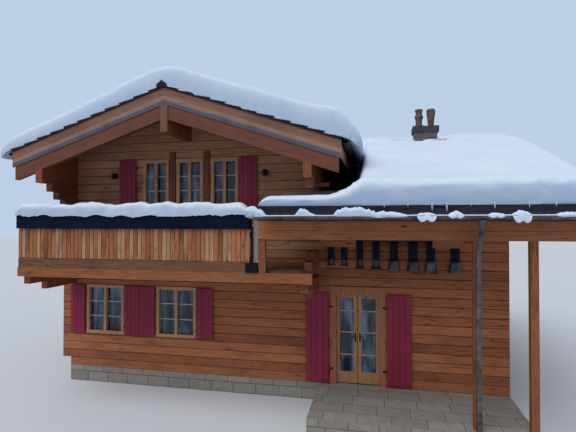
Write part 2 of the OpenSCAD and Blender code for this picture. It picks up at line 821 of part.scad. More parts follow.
// Posts on the gable's face between its windows
module gable_posts() color("sienna") for (i = [-0.5, 0.5]) {
    x = gable_win_x + i * gable_win_pitch;
    block([x - gable_post_w / 2, front - gable_post_out, gable_win_z - 40],
        [x + gable_post_w / 2, front, gable_win_z + gable_win_h + gable_post_up]);
}

module door_frame() color("tan") on_front(door_x) difference() {
    union() {
        block([-door_half - jamb_w, 0, plinth_h], [door_half + jamb_w, wall_t, door_z + jamb_w]);
        block([-door_half - jamb_w - casing_w, -casing_out, plinth_h],
            [door_half + jamb_w + casing_w, 0, door_z + jamb_w + 110]);
    }
    block([-door_half + stop_w, -casing_out - 50, 0], [door_half - stop_w, wall_t + 50, door_z - stop_w]);
    block([-door_half, stop_y, 0], [door_half, wall_t + 50, door_z]);
    block([-door_half - 18, rebate_y, 0], [door_half + 18, wall_t + 50, door_z]);
}

leaf_w = door_half - leaf_gap - leaf_meet / 2;
hinge_zs = [for (f = [0.12, 0.5, 0.88]) floor_z + f * door_h];
knuckle_h = 60;
knuckle_r = 9;
door_pin_r = 5;
// Distance of the hinge axis behind the leaf's inner face, and depth of the glass in its groove
axis_back = axis_y - leaf_y - leaf_t;
glass_in = 15;

// A door leaf that hangs on the left jamb, from its hinge axis at x = 0, y = 0
module door_leaf() difference() {
    x0 = leaf_gap / 2;
    head = door_z - leaf_gap;
    union() {
        block([x0, leaf_y - axis_y, floor_z + leaf_gap + 2], [x0 + leaf_w, -axis_back, head]);
        for (z = hinge_zs) {
            translate([0, 0, z]) cylinder(h = knuckle_h, r = knuckle_r, $fn = 32);
            block([0, -axis_back - eps, z], [knuckle_r, 0, z + knuckle_h]);
        }
    }
    for (z = hinge_zs) translate([0, 0, z - eps])
        cylinder(h = knuckle_h + 2 * eps, r = door_pin_r + pin_gap, $fn = 32);
    block([x0 + stile_w, -4 * leaf_t, floor_z + kick_h], [x0 + leaf_w - stile_w, leaf_t, head - stile_w]);
    leaf_groove();
}

// The pane of a leaf, which sits in a groove round the opening
module leaf_groove() {
    x0 = leaf_gap / 2;
    middle = -axis_back - leaf_t / 2;
    block([x0 + stile_w - glass_in, middle - glass_t / 2, floor_z + kick_h - glass_in],
        [x0 + leaf_w - stile_w + glass_in, middle + glass_t / 2, door_z - leaf_gap - stile_w + glass_in]);
}

module on_left_jamb() { translate([door_x - door_half + leaf_gap / 2, front + axis_y, 0]) children(); }
module on_right_jamb() {
    translate([door_x + door_half - leaf_gap / 2, front + axis_y, 0]) mirror([1, 0, 0]) children();
}

module door_leaf_left() color("tan") on_left_jamb() door_leaf();
module door_leaf_right() color("tan") on_right_jamb() door_leaf();
module door_glass_left() color("steelblue", 0.5) on_left_jamb() leaf_groove();
module door_glass_right() color("steelblue", 0.5) on_right_jamb() leaf_groove();

// Shutters: the eye is on the axis at x = 0, and the shutter lies open towards -x
eye_r = 12;
eye_h = 40;
shutter_edge = 15;
module shutter(w, z0, z1) {
    eyes = [z0 + 0.14 * (z1 - z0), z1 - 0.14 * (z1 - z0) - eye_h];
    difference() {
        union() {
            block([-shutter_edge - w, -shutter_t / 2, z0], [-shutter_edge, shutter_t / 2, z1]);
            for (z = eyes) {
                translate([0, 0, z]) cylinder(h = eye_h, r = eye_r, $fn = 32);
                block([-shutter_edge - eps, -5, z], [-pintle_r, 5, z + eye_h]);
            }
        }
        for (z = eyes) translate([0, 0, z - eps])
            cylinder(h = eye_h + 2 * eps, r = pintle_r + pin_gap, $fn = 32);
    }
}

// The two pintles of one shutter, from the wall to the pins in its eyes
module pintles(z0, z1) {
    eyes = [z0 + 0.14 * (z1 - z0), z1 - 0.14 * (z1 - z0) - eye_h];
    for (z = eyes) {
        block([-8, -8, z - 14], [8, front - shutter_y, z - 0.5]);
        translate([0, 0, z - 2]) cylinder(h = eye_h + 8, r = pintle_r, $fn = 32);
    }
}

// Hinge lines of the shutters: [x, low, high, width, side]
door_hinge = door_half + jamb_w + casing_w + 20;
gable_hinge_right = gable_win_pitch + gable_win_w / 2 + 24;
gable_hinge_left = gable_hinge_right + 150;
low_hinge = low_win_w / 2 + 24;

module door_shutter_left() color("darkred")
    translate([door_x - door_hinge, shutter_y, 0]) shutter(door_shutter_w, floor_z + 30, door_z + 20);
module door_shutter_right() color("darkred") translate([door_x + door_hinge, shutter_y, 0])
    mirror([1, 0, 0]) shutter(door_shutter_w, floor_z + 30, door_z + 20);
module gable_shutter_left() color("darkred") translate([gable_win_x - gable_hinge_left, shutter_y, 0])
    shutter(gable_shutter_w, gable_win_z, gable_win_z + gable_win_h + 40);
module gable_shutter_right() color("darkred") translate([gable_win_x + gable_hinge_right, shutter_y, 0])
    mirror([1, 0, 0]) shutter(gable_shutter_w, gable_win_z, gable_win_z + gable_win_h + 40);
module low_shutter(x, side) translate([x + side * low_hinge, shutter_y, 0])
    mirror([side > 0 ? 1 : 0, 0, 0]) shutter(low_shutter_w, low_win_z, low_win_z + low_win_h);
module window_a_shutter_left() color("darkred") low_shutter(low_win_a, -1);
module window_a_shutter_right() color("darkred") low_shutter(low_win_a, 1);
module window_b_shutter_left() color("darkred") low_shutter(low_win_b, -1);
module window_b_shutter_right() color("darkred") low_shutter(low_win_b, 1);

module hinge_pins() color("black") {
    for (s = [-1, 1]) {
        translate([door_x + s * door_hinge, shutter_y, 0]) pintles(floor_z + 30, door_z + 20);
        translate([gable_win_x + (s < 0 ? -gable_hinge_left : gable_hinge_right), shutter_y, 0])
            pintles(gable_win_z, gable_win_z + gable_win_h + 40);
        for (x = [low_win_a, low_win_b])
            translate([x + s * low_hinge, shutter_y, 0]) pintles(low_win_z, low_win_z + low_win_h);
    }
    for (side = [0, 1]) translate([door_x, front + axis_y, 0]) mirror([side, 0, 0])
        for (z = hinge_zs) {
            x = -door_half + leaf_gap / 2;
            block([-door_half - 18, -5, z - 8], [x + 5, 5, z - 0.5]);
            translate([x, 0, z - 2]) cylinder(h = knuckle_h + 4, r = door_pin_r, $fn = 32);
        }
}

// Bells: [distance from the side wall, width, height, drop of the bell's crown below the rod]
bells = [[290, 155, 180, 330], [580, 165, 190, 340], [920, 175, 200, 330], [1270, 190, 210, 330],
    [1650, 205, 220, 340], [2050, 220, 235, 345], [2410, 235, 245, 350], [2900, 260, 260, 360]];

// A cow bell hung from the staple at its crown; the staple bar lies at z = 0
module bell(w, h) {
    r = w / 2;
    rotate_extrude($fn = 48) polygon([[0, -34], [r * 0.55, -36], [r * 0.86, -60], [r * 0.95, -h * 0.55],
        [r, -h - 30], [r - bell_t, -h - 30], [r * 0.95 - bell_t, -h * 0.55], [r * 0.86 - bell_t, -66],
        [r * 0.5, -43], [0, -41]]);
    bar = w * 0.36;
    for (s = [-1, 1]) block([s * bar - 6, -6, -56], [s * bar + 6, 6, 6.3]);
    translate([-bar - 6, 0, 6.3]) rotate([0, 90, 0]) cylinder(h = 2 * bar + 12, r = 6, $fn = 32);
}

bell_y = front - rod_out;
module cow_bells() color("darkslategray")
    for (b = bells) translate([half_w + b[0], bell_y, rod_z - b[3]]) bell(b[1], b[2]);

// An upright slot shape with round ends, between two centres
module stadium(r, z_low, z_high) {
    translate([0, z_low]) circle(r, $fn = 32);
    translate([0, z_high]) circle(r, $fn = 32);
    translate([-r, z_low]) square([2 * r, z_high - z_low]);
}

// A strap: a closed loop over the rod and under the bell's staple bar
module strap_loop(w, drop) {
    inner = rod_r + 6;
    z_high = rod_r + pin_gap - inner;
    z_low = inner - drop;
    along_x(-w / 2, w / 2) difference() {
        stadium(inner + strap_t, z_low, z_high);
        stadium(inner, z_low, z_high);
    }
}

module bell_straps() color("midnightblue")
    for (b = bells) translate([half_w + b[0], bell_y, rod_z]) strap_loop(b[1] * 0.62, b[3]);

module bell_rail() color("peru") {
    x0 = half_w + bells[0][0] - rail_past;
    x1 = half_w + bells[7][0] + rail_past;
    hook = bracket_w / 2;
    block([x0, front - rail_t, rod_z - rail_h / 2], [x1, front, rod_z + rail_h / 2]);
    translate([x0, bell_y, rod_z]) rotate([0, 90, 0]) cylinder(h = x1 - x0, r = rod_r, $fn = 32);
    for (x = [x0 + hook, half_w + (bells[3][0] + bells[4][0]) / 2, x1 - hook])
        block([x - hook, bell_y - rod_r - hook / 2, rod_z - 2 * hook],
            [x + hook, front - rail_t + eps, rod_z + 2 * hook]);
}

lamp_x = 1950;
lamp_z = 5170;
module wall_lamps() color("dimgray") for (s = [-1, 1]) translate([s * lamp_x, front, lamp_z]) {
    block([-40, -14, -60], [40, 0, 60]);
    block([-12, -70, 40], [12, -14, 52]);
    translate([0, -95, -70]) cylinder(h = 112, r = 62, $fn = 6);
    translate([0, -95, 42]) cylinder(h = 40, r1 = 70, r2 = 12, $fn = 6);
}

// Where the main roof's overhang begins to keep snow off the porch roof
sheltered_y = verge_front + 2 * verge_board_t;

// Where the deep snow of the wing begins, just outside the main eave
deep_x = half_roof + snow_out - 50;

// Section of the snow on the main roof, left to right: [distance from the ridge, height over the tile line]
eave_curl = [[0.4, 0], [0.54, -0.08], [0.76, -0.22], [0.94, -0.14], [1, 0.2], [0.78, 0.64]];
main_snow = concat(
    [for (p = eave_curl) [-half_roof - p[0] * snow_out, p[1] * snow_out]],
    [[-half_roof - 50, snow_ridge * 0.74], [-half_roof * 0.6, snow_ridge * 0.80],
        [-half_roof * 0.22, snow_ridge], [0, snow_ridge], [half_roof * 0.22, snow_ridge],
        [half_roof * 0.6, snow_ridge * 1.06], [half_roof * 0.84, snow_ridge * 1.02],
        [half_roof - 120, snow_ridge * 1.28], [half_roof + 50, snow_ridge]],
    [for (i = [len(eave_curl) - 1:-1:0])
        [half_roof + eave_curl[i][0] * snow_out, eave_curl[i][1] * snow_out]]);

module main_snow_top(base) polygon(concat(
    [[half_roof + eave_curl[0][0] * snow_out, base], [-half_roof - eave_curl[0][0] * snow_out, base]],
    [for (p = main_snow) [p[0], tile_z(p[0]) + p[1]]]));

module main_roof_snow() color("white") difference() {
    along_y(verge_front + 20, verge_rear - 20) main_snow_top(wing_eave_z);
    below_main_roof(0);
    intersection() {
        below_wing_roof(0);
        block([0, front, 0], [wing_end, rear + wing_rear_out, far]);
    }
}

module wing_roof_snow() color("white") difference() {
    foot = main_d / 2 + wing_rear_out;
    along_x(0, wing_end + 60) translate([wing_ridge_y, 0]) polygon([
        [-main_d / 2, porch_eave_z], [-main_d / 2, wing_eave_z + snow_wing],
        [0, wing_ridge_z + snow_wing], [foot, wing_eave_z - wing_rear_out * wing_pitch + snow_wing * 0.8],
        [foot, porch_eave_z - snow_wing]]);
    below_wing_roof(0);
    along_y(-far, far) main_snow_top(0);
    chimney_shaft();
    block([0, front - wall_t, 0], [deep_x, -wing_snow_y, far]);
}

// Rounded front of the snow on the porch: [distance behind the roof's edge, share of the depth]
porch_nose = [[0, 0], [-35, 0.2], [-50, 0.5], [-20, 0.8], [80, 1]];

// Depth of snow where it thins out under the main roof's overhang
thin_edge = 12;

// A length of the porch snow: a depth at its front, another one where it ends at the back
module porch_slab(x0, x1, depth, y_back, back_depth) along_x(x0, x1) polygon(concat(
    [for (p = porch_nose) [porch_edge + p[0], porch_eave_z + fit_gap + p[1] * depth]],
    [[y_back, porch_line(y_back) + back_depth], [y_back, porch_line(y_back) + fit_gap]]));

// The snow on the porch roof: thin by the main block, deep in front of the wing
module porch_roof_snow() color("white") difference() {
    step = snow_out / 2;
    union() {
        porch_slab(porch_x0 + 60, half_roof - 100, snow_porch, front - joint_board_t, thin_edge);
        porch_slab(half_roof - 100 - eps, half_roof - 100 + step,
            snow_porch * 1.3, sheltered_y, snow_porch);
        porch_slab(half_roof - 100 + step - eps, deep_x,
            snow_porch * 1.9, sheltered_y, snow_wing * 0.7);
        porch_slab(deep_x - eps, wing_end, snow_wing, front, snow_wing);
    }
    porch_fascia();
    corbel_logs();
}

module balcony_snow() color("white") {
    y = front - balcony_out - beam_t / 2 - planter_over;
    foot = planter_z + planter_h;
    along_x(-half_w - 60, panel_x1 + 60) polygon([[y - 30, foot], [y - 10, foot + snow_rail * 0.6],
        [y + planter_d / 2, foot + snow_rail], [y + planter_d + 30, foot + snow_rail * 0.6],
        [y + planter_d + 30, foot]]);
}

foundation();
ground_floor();
upper_floor();
front_wall();
front_gable();
left_wall();
right_wall();
rear_wall();
wing_wall_beside_door();
wing_front_wall();
wing_wall_over_door();
wing_end_wall();
wing_rear_wall();
crossed_log_ends();
corbel_logs();
purlins();
verge_rafters();
verge_boards();
main_roof_left();
main_roof_right();
porch_roof();
wing_roof_front();
wing_roof_rear();
gutters();
downpipe();
chimney_stack();
chimney_pots();
balcony_deck();
balcony_beam();
balcony_panel();
balcony_end_post();
planter_boxes();
porch_posts();
porch_lintel();
window_frames();
window_glass();
gable_posts();
door_frame();
door_leaf_left();
door_leaf_right();
door_glass_left();
door_glass_right();
door_shutter_left();
door_shutter_right();
gable_shutter_left();
gable_shutter_right();
window_a_shutter_left();
window_a_shutter_right();
window_b_shutter_left();
window_b_shutter_right();
hinge_pins();
cow_bells();
bell_straps();
bell_rail();
wall_lamps();
porch_fascia();
main_roof_snow();
wing_roof_snow();
porch_roof_snow();
balcony_snow();
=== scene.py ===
"""Looks for the alpine chalet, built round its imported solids.

Metres, in the part's own frame: the origin is on the ground under the middle of the main block,
-Y is the entrance side with the balcony, +X is the side of the wing and +Z is up.
"""

import json
import math

import bmesh
import bpy
from mathutils import Matrix, Vector, noise

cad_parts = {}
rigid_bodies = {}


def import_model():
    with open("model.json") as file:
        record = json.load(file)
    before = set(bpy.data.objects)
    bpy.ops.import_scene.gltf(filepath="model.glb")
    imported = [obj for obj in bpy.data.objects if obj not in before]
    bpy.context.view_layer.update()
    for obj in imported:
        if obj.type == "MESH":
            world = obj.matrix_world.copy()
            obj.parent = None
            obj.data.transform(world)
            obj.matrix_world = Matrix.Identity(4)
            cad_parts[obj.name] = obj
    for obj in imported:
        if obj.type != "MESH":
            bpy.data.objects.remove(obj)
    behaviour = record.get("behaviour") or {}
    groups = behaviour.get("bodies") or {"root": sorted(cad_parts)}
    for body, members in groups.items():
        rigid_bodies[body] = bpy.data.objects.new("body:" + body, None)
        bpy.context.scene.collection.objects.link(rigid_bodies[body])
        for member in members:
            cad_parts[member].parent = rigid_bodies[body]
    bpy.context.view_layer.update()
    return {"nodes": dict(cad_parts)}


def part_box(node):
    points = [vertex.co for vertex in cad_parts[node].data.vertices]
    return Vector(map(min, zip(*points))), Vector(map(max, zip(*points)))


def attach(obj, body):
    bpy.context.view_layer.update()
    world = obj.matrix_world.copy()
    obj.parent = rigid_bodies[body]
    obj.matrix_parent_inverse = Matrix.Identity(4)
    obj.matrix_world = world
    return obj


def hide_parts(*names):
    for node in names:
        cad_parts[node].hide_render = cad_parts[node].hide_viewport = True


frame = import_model()
scene = bpy.context.scene


def low(node):
    """Lowest corner of a solid."""
    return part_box(node)[0]


def high(node):
    """Highest corner of a solid."""
    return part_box(node)[1]


# Sizes that the frame gives, with the pitches, courses and depths that the solids are built with
FRONT = low("front_wall").y
REAR = high("rear_wall").y
HALF_BLOCK = high("front_wall").x
PLINTH_TOP = low("front_wall").z
LOG = 0.200
PITCH = 0.335
ROOF_ANGLE = math.atan(PITCH)
TILE_STEP = 0.038
COURSES = 11
ROOF_DEPTH = 0.150
HALF_ROOF = high("main_roof_right").x
VERGE_FRONT = low("verge_boards").y
VERGE_REAR = high("verge_boards").y
RIDGE = high("main_roof_left").z + TILE_STEP
COURSE_RUN = HALF_ROOF / COURSES
WING_PITCH = 0.40
WING_ROOF_DEPTH = 0.120
WING_RIDGE = high("wing_roof_front").z
WING_EAVE = high("porch_roof").z
WING_VERGE = high("porch_roof").x
PORCH_EDGE = low("porch_roof").y
PORCH_LEFT = low("porch_roof").x
PORCH_EAVE = low("porch_roof").z + WING_ROOF_DEPTH
PORCH_FALL = (WING_EAVE - PORCH_EAVE) / (FRONT - PORCH_EDGE)
GUTTER_AXIS_Y = (low("gutters").y + PORCH_EDGE) / 2
GUTTER_TOP = PORCH_EAVE - WING_ROOF_DEPTH - 0.060


def tile_line(x):
    """Height of the main roof's tile line at a distance from the ridge."""
    return RIDGE - PITCH * abs(x)


def stepped_tiles(x):
    """Height of the stepped tile courses at a distance from the ridge."""
    across = min(abs(x), HALF_ROOF)
    course = min(int(across / COURSE_RUN), COURSES - 1)
    part = across / COURSE_RUN - course
    head = tile_line(course * COURSE_RUN) - TILE_STEP
    foot = tile_line((course + 1) * COURSE_RUN)
    return head + (foot - head) * part


def wing_line(y):
    """Height of the wing roof and of the porch roof that carries it on."""
    if y < FRONT:
        return WING_EAVE + PORCH_FALL * (y - FRONT)
    return WING_RIDGE - WING_PITCH * abs(y)


def linear(red, green, blue):
    """A colour as a screen shows it, 0 to 255, in the linear values that a shader takes."""
    return (*[c / 3294.6 if c <= 10 else ((c / 255 + 0.055) / 1.055) ** 2.4 for c in (red, green, blue)], 1.0)


def deeper(colour, share):
    """A colour with this share of its light."""
    return (*[c * share for c in linear(*colour)[:3]], 1.0)


def operator(operation, swapped=False):
    """A method that adds one Math node."""

    def method(self, *others):
        values = (*others, self) if swapped else (self, *others)
        return self.net.node("ShaderNodeMath", {"operation": operation}, values)

    return method


class Sock:
    """An output of a node. An expression on it adds the Math nodes that it needs."""

    __add__ = operator("ADD")
    __radd__ = operator("ADD", swapped=True)
    __sub__ = operator("SUBTRACT")
    __rsub__ = operator("SUBTRACT", swapped=True)
    __mul__ = operator("MULTIPLY")
    __rmul__ = operator("MULTIPLY", swapped=True)
    __truediv__ = operator("DIVIDE")
    __mod__ = operator("FLOORED_MODULO")
    __abs__ = operator("ABSOLUTE")
    floor = operator("FLOOR")
    most = operator("MAXIMUM")

    def __init__(self, net, out):
        self.net = net
        self.out = out


class Net:
    """A node tree in the making, for a finish or for a shape."""

    def __init__(self, tree):
        self.tree = tree

    def feed(self, socket, value):
        """Link or set a socket. Three numbers for a colour are as a screen shows it."""
        if isinstance(value, Sock):
            self.tree.links.new(value.out, socket)
        else:
            socket.default_value = linear(*value) if socket.type == "RGBA" and len(value) == 3 else value

    def node(self, kind, settings=None, inputs=(), out=0):
        """A node with its settings made first, then the values or links of its sockets."""
        made = self.tree.nodes.new(kind)
        for key, value in (settings or {}).items():
            setattr(made, key, value)
        pairs = inputs.items() if isinstance(inputs, dict) else enumerate(inputs)
        for key, value in pairs:
            self.feed(made.inputs[key], value)
        return Sock(self, made.outputs[out])

    def join(self, x, y, z):
        return self.node("ShaderNodeCombineXYZ", None, (x, y, z))

    def split(self, vector):
        first = self.node("ShaderNodeSeparateXYZ", None, (vector,))
        return [Sock(self, out) for out in first.out.node.outputs]

    def mix(self, factor, first, second):
        return self.node("ShaderNodeMix", {"data_type": "RGBA"}, {0: factor, 6: first, 7: second}, 2)


class Finish(Net):
    """One material on Object coordinates."""

    def __init__(self, name, roughness=0.6, metallic=0.0, **constants):
        self.material = bpy.data.materials.new(name)
        self.material.use_nodes = True
        super().__init__(self.material.node_tree)
        self.shader = self.tree.nodes["Principled BSDF"]
        self.set("Roughness", roughness)
        self.set("Metallic", metallic)
        for key, value in constants.items():
            self.set(key.replace("_", " "), value)
        self.place = self.node("ShaderNodeTexCoord", out="Object")
        self.x, self.y, self.z = self.split(self.place)

    def set(self, key, value):
        self.feed(self.shader.inputs[key], value)

    def grain(self, vector, scale=1.0, detail=4.0, roughness=0.55):
        settings = {"Vector": vector, "Scale": scale, "Detail": detail, "Roughness": roughness}
        return self.node("ShaderNodeTexNoise", None, settings)

    def stretched(self, level, upright):
        """The place with one scale along the ground and another upwards."""
        return self.join(self.x * level, self.y * level, self.z * upright)

    def cells(self, vector, scale=1.0):
        """Distance to the nearest of many scattered points."""
        return self.node("ShaderNodeTexVoronoi", None, {"Vector": vector, "Scale": scale}, "Distance")

    def chance(self, number):
        """A steady random value for a whole number."""
        return self.node("ShaderNodeTexWhiteNoise", {"noise_dimensions": "1D"}, {"W": number}, "Value")

    def rise(self, value, start, end):
        """0 below start and 1 above end, smooth between them."""
        settings = {"Value": value, "From Min": start, "From Max": end}
        return self.node("ShaderNodeMapRange", {"interpolation_type": "SMOOTHSTEP"}, settings)

    def steps(self, place):
        """The whole step that a place lies in, and its distance from the step's middle, 1 at a seam."""
        number = place.floor()
        return number, abs(place - number - 0.5) * 2.0

    def facing_up(self, start, end):
        """0 to 1 as a face turns to the sky: start and end are heights of its normal."""
        return self.rise(self.split(self.node("ShaderNodeNewGeometry", out="Normal"))[2], start, end)

    def bump(self, height, distance, strength=1.0):
        inputs = {"Height": height, "Distance": distance, "Strength": strength}
        self.set("Normal", self.node("ShaderNodeBump", None, inputs))

    def tone(self):
        """The random value that each board, tile or plate was given when it was laid."""
        return self.node("ShaderNodeAttribute", {"attribute_name": "tone"}, out="Fac")

    def down_roof(self):
        """Axes along the fall of the main roof on either side of its ridge."""
        out, cos, sin = abs(self.x), math.cos(ROOF_ANGLE), math.sin(ROOF_ANGLE)
        return out * cos - self.z * sin, out * sin + self.z * cos, self.y


# A timber's axes along its grain, up its face and through its depth
ALONG_X, ALONG_Y, UPRIGHT, FLAT, SLOPE = "xzy", "yzx", "zxy", "xyz", "slope"


def timber(name, lay, light, dark, course=None, stain=0.35, knots=0.5, toned=False, bands=(), odd=None,
           shine=0.3):
    """Sawn softwood: growth rings, fibre, drying cracks, knots and weather stains along its grain.

    course is (height of the first seam, height of a log) where a wall shows its logs, bands are
    (light, start, end), a colour below a height up the face (weathering on the verge, painted shade on
    the porch fascia), and odd is (light, dark, tone from which a board has these colours).
    """
    f = Finish(name, Specular_IOR_Level=shine)
    along, up, deep = f.down_roof() if lay == SLOPE else [getattr(f, axis) for axis in lay]
    own = f.tone() if toned else 0.5
    if course:
        number, edge = f.steps((up - course[0]) / course[1])
        own = f.chance(number)
    if course or toned:
        along = along + own * 17.0

    def grain(length, width, detail, roughness=0.55):
        """Unevenness with one scale along the grain and another across it."""
        return f.grain(f.join(along * length, up * width, deep * width), 1.0, detail, roughness)

    drift = grain(0.6, 1.8, 2.0)
    rings = f.grain(f.join(along * 0.35, up * 5.5 + drift, deep * 5.5), 1.0, 3.0, 0.45)
    figure = abs((rings * 16.0) % 1.0 - 0.5) * 2.0
    fibre = grain(4.0, 120.0, 3.0, 0.6)
    shade = figure * 0.30 + fibre * 0.35 + own * 0.55 - 0.10
    colour = f.mix(shade, dark, light)
    if odd:
        odd_light, odd_dark, share = odd
        colour = f.mix(f.rise(own, share, share + 0.01), colour, f.mix(shade, odd_dark, odd_light))
    for band, start, end in bands:
        colour = f.mix(f.rise(up, start, end), f.mix(fibre, deeper(band, 0.5), band), colour)
    blotch = f.rise(grain(0.9, 1.6, 5.0, 0.6), 0.46, 0.72)
    knot = 1.0 - f.rise(f.cells(f.join(along * 1.35, up * 4.2, deep * 0.6)), 0.045, 0.11)
    check = grain(0.55, 11.0, 2.0, 0.4)
    crack = (1.0 - f.rise(abs(check - 0.5), 0.002, 0.011)) * f.rise(drift, 0.45, 0.60)
    for share in (blotch * stain, knot * knots, crack * 0.75):
        colour = f.mix(share, colour, deeper(dark, 0.32))
    height = fibre * 0.25 + figure * 0.15 - crack * 0.9 - knot * 0.2
    if course:
        # Each seam between courses is darkened: the joint's own dark line, with painted shade of the groove
        # on top of it.
        seam = f.rise(edge, 0.88, 0.985)
        colour = f.mix(seam * 0.62, colour, deeper(dark, 0.16))
        height = height - seam * 0.6
    f.set("Base Color", colour)
    f.set("Roughness", 0.52 + fibre * 0.25 + crack * 0.2)
    f.bump(height, 0.006)
    return f.material


def snow_finish():
    f = Finish("settled_snow", 0.75)
    wide = f.grain(f.place, 1.1, 4.0, 0.5)
    fine = f.grain(f.place, 60.0, 3.0, 0.6)
    clump = f.grain(f.place, 7.0, 4.0, 0.6)
    shade = wide * 0.7 + clump * 0.5 - 0.1
    # Faces that turn from the sky take a darker blue-grey: painted shade on the snow's steep fronts, with the
    # lighter colour on the level tops.
    shaded_steep = f.mix(shade, (158, 178, 206), (188, 204, 226))
    level = f.mix(shade, (200, 216, 238), (232, 242, 253))
    f.set("Base Color", f.mix(f.facing_up(-0.1, 0.75), shaded_steep, level))
    f.bump(clump * 0.7 + fine * 0.2, 0.012, 0.8)
    return f.material


def slate_finish():
    f = Finish("split_slate", 0.7, Specular_IOR_Level=0.2)
    grit = f.grain(f.place, 22.0, 5.0, 0.65)
    f.set("Base Color", f.mix(grit * 0.6 + f.tone() * 0.5, (9, 9, 14), (38, 36, 44)))
    f.set("Roughness", 0.55 + grit * 0.3)
    f.bump(grit, 0.004)
    return f.material


def paint_finish(name, light, dark):
    """Oil paint on boards: brush marks down the board, chalking and a few bare edges."""
    f = Finish(name, 0.5, Specular_IOR_Level=0.3)
    brush = f.grain(f.stretched(160.0, 3.0), 1.0, 3.0, 0.6)
    wide = f.grain(f.place, 2.4, 4.0, 0.55)
    scuff = f.rise(f.grain(f.stretched(30.0, 9.0), 1.0, 4.0, 0.7), 0.66, 0.78)
    colour = f.mix(brush * 0.35 + wide * 0.55 + f.tone() * 0.25, dark, light)
    f.set("Base Color", f.mix(scuff * 0.30, colour, deeper(dark, 0.4)))
    f.set("Roughness", 0.36 + brush * 0.25 + scuff * 0.25)
    f.bump(brush * 0.5 - scuff, 0.0012)
    return f.material


def metal_finish(name, light, dark, roughness, metallic, scale):
    """Worn metal: dull patches, fine scratches and dark spots."""
    f = Finish(name, roughness, metallic)
    patch = f.grain(f.place, scale, 5.0, 0.6)
    fine = f.grain(f.stretched(20.0, 90.0), 1.0, 3.0, 0.6)
    f.set("Base Color", f.mix(f.rise(patch + fine * 0.25, 0.4, 0.85), dark, light))
    f.set("Roughness", roughness + patch * 0.3 - 0.1)
    f.bump(patch * 0.6 + fine * 0.3, 0.0015)
    return f.material


def stone_finish(name, light, dark, course=0.0, length=0.0, rough_scale=6.0, slab=None):
    """Mottled stone, with mortar joints and flags where a course is given, and darker above slab."""
    f = Finish(name, 0.85)
    patch = f.grain(f.place, rough_scale, 6.0, 0.62)
    grit = f.grain(f.place, 70.0, 3.0, 0.6)
    colour = f.mix(patch * 0.9 + grit * 0.25 - 0.1, dark, light)
    height = patch * 0.5 + grit * 0.3
    if course:
        row, bed = f.steps(f.z / course)
        block, end = f.steps((f.x + f.y) / length + row * 0.37 + f.chance(row) * 0.3)
        own = f.chance(block + row * 17.0)
        joint = f.rise(bed, 0.90, 0.97).most(f.rise(end, 0.95, 0.985))
        flag_row, side = f.steps(f.y / FLAG)
        flag, end = f.steps(f.x / (FLAG * 1.5) + f.chance(flag_row + 5.0))
        level = f.facing_up(0.6, 0.7)
        own = own + (f.chance(flag * 3.0 + flag_row * 11.0) - own) * level
        joint = joint + (f.rise(side, 0.95, 0.985).most(f.rise(end, 0.97, 0.99)) - joint) * level
        colour = f.mix(joint * 0.7, f.mix(own * 0.45, colour, dark), deeper(dark, 0.5))
        height = height - joint * 0.8
    if slab:
        colour = f.mix(f.rise(f.z, slab, slab + 0.004), colour, f.mix(patch, (30, 32, 42), (72, 74, 86)))
    f.set("Base Color", colour)
    f.bump(height, 0.008)
    return f.material


def glass_finish():
    """Old panes whose dark blue colour paints the shade of the unlit room behind them, with pale curtain
    folds.
    """
    f = Finish("window_pane_glass", 0.05, 0.0, Transmission_Weight=0.35, IOR=1.5)
    fold = f.grain(f.stretched(7.0, 0.8), 1.0, 4.0, 0.6)
    veil = f.rise(fold, 0.40, 0.66) * f.rise(f.grain(f.place, 1.7, 2.0, 0.5), 0.30, 0.55)
    # The dark blue is painted shade of the room behind the panes.
    f.set("Base Color", f.mix(veil, (14, 28, 46), (118, 152, 186)))
    return f.material


def leather_finish():
    f = Finish("strap_hide", 0.6, Specular_IOR_Level=0.12)
    wear = f.grain(f.place, 12.0, 5.0, 0.6)
    # Near-black hide, and its navy tint is painted shade under the porch roof.
    f.set("Base Color", f.mix(wear, (3, 7, 24), (14, 24, 56)))
    f.set("Roughness", 0.45 + wear * 0.3)
    f.bump(f.cells(f.place, 240.0) * 0.6 + wear * 0.5, 0.0012)
    return f.material


# The width of a stone flag on level ground, and the colours and heights that several timbers share
FLAG = 0.42
HONEY, HONEY_DARK = (186, 116, 74), (120, 68, 44)
GABLE, GABLE_DARK = (208, 150, 116), (142, 98, 70)
RED_BROWN, RED_DARK = (158, 94, 58), (90, 48, 30)
# A dark blue-grey that paints the shade under the porch's overhanging snow, on the porch roof's boards and
# the lower part of its fascia.
SHADE_GREY = (58, 54, 66)
WALL_COURSE = (PLINTH_TOP, LOG)
INSIDE_COURSE = (0.0, 0.14)
SLOPE_COS = math.cos(ROOF_ANGLE)
VERGE_SEAM = ((RIDGE - 0.200) * SLOPE_COS, (RIDGE - 0.196) * SLOPE_COS)
VERGE_GREY = ((RIDGE - 0.35) * SLOPE_COS, (RIDGE - 0.30) * SLOPE_COS)
VERGE_BANDS = (((172, 134, 110), *VERGE_SEAM), ((96, 98, 108), *VERGE_GREY))
PORCH_SHADE_BAND = ((SHADE_GREY, WING_EAVE - 0.20, WING_EAVE - 0.18),)
CHIMNEY_SLAB = high("chimney_stack").z - 0.165

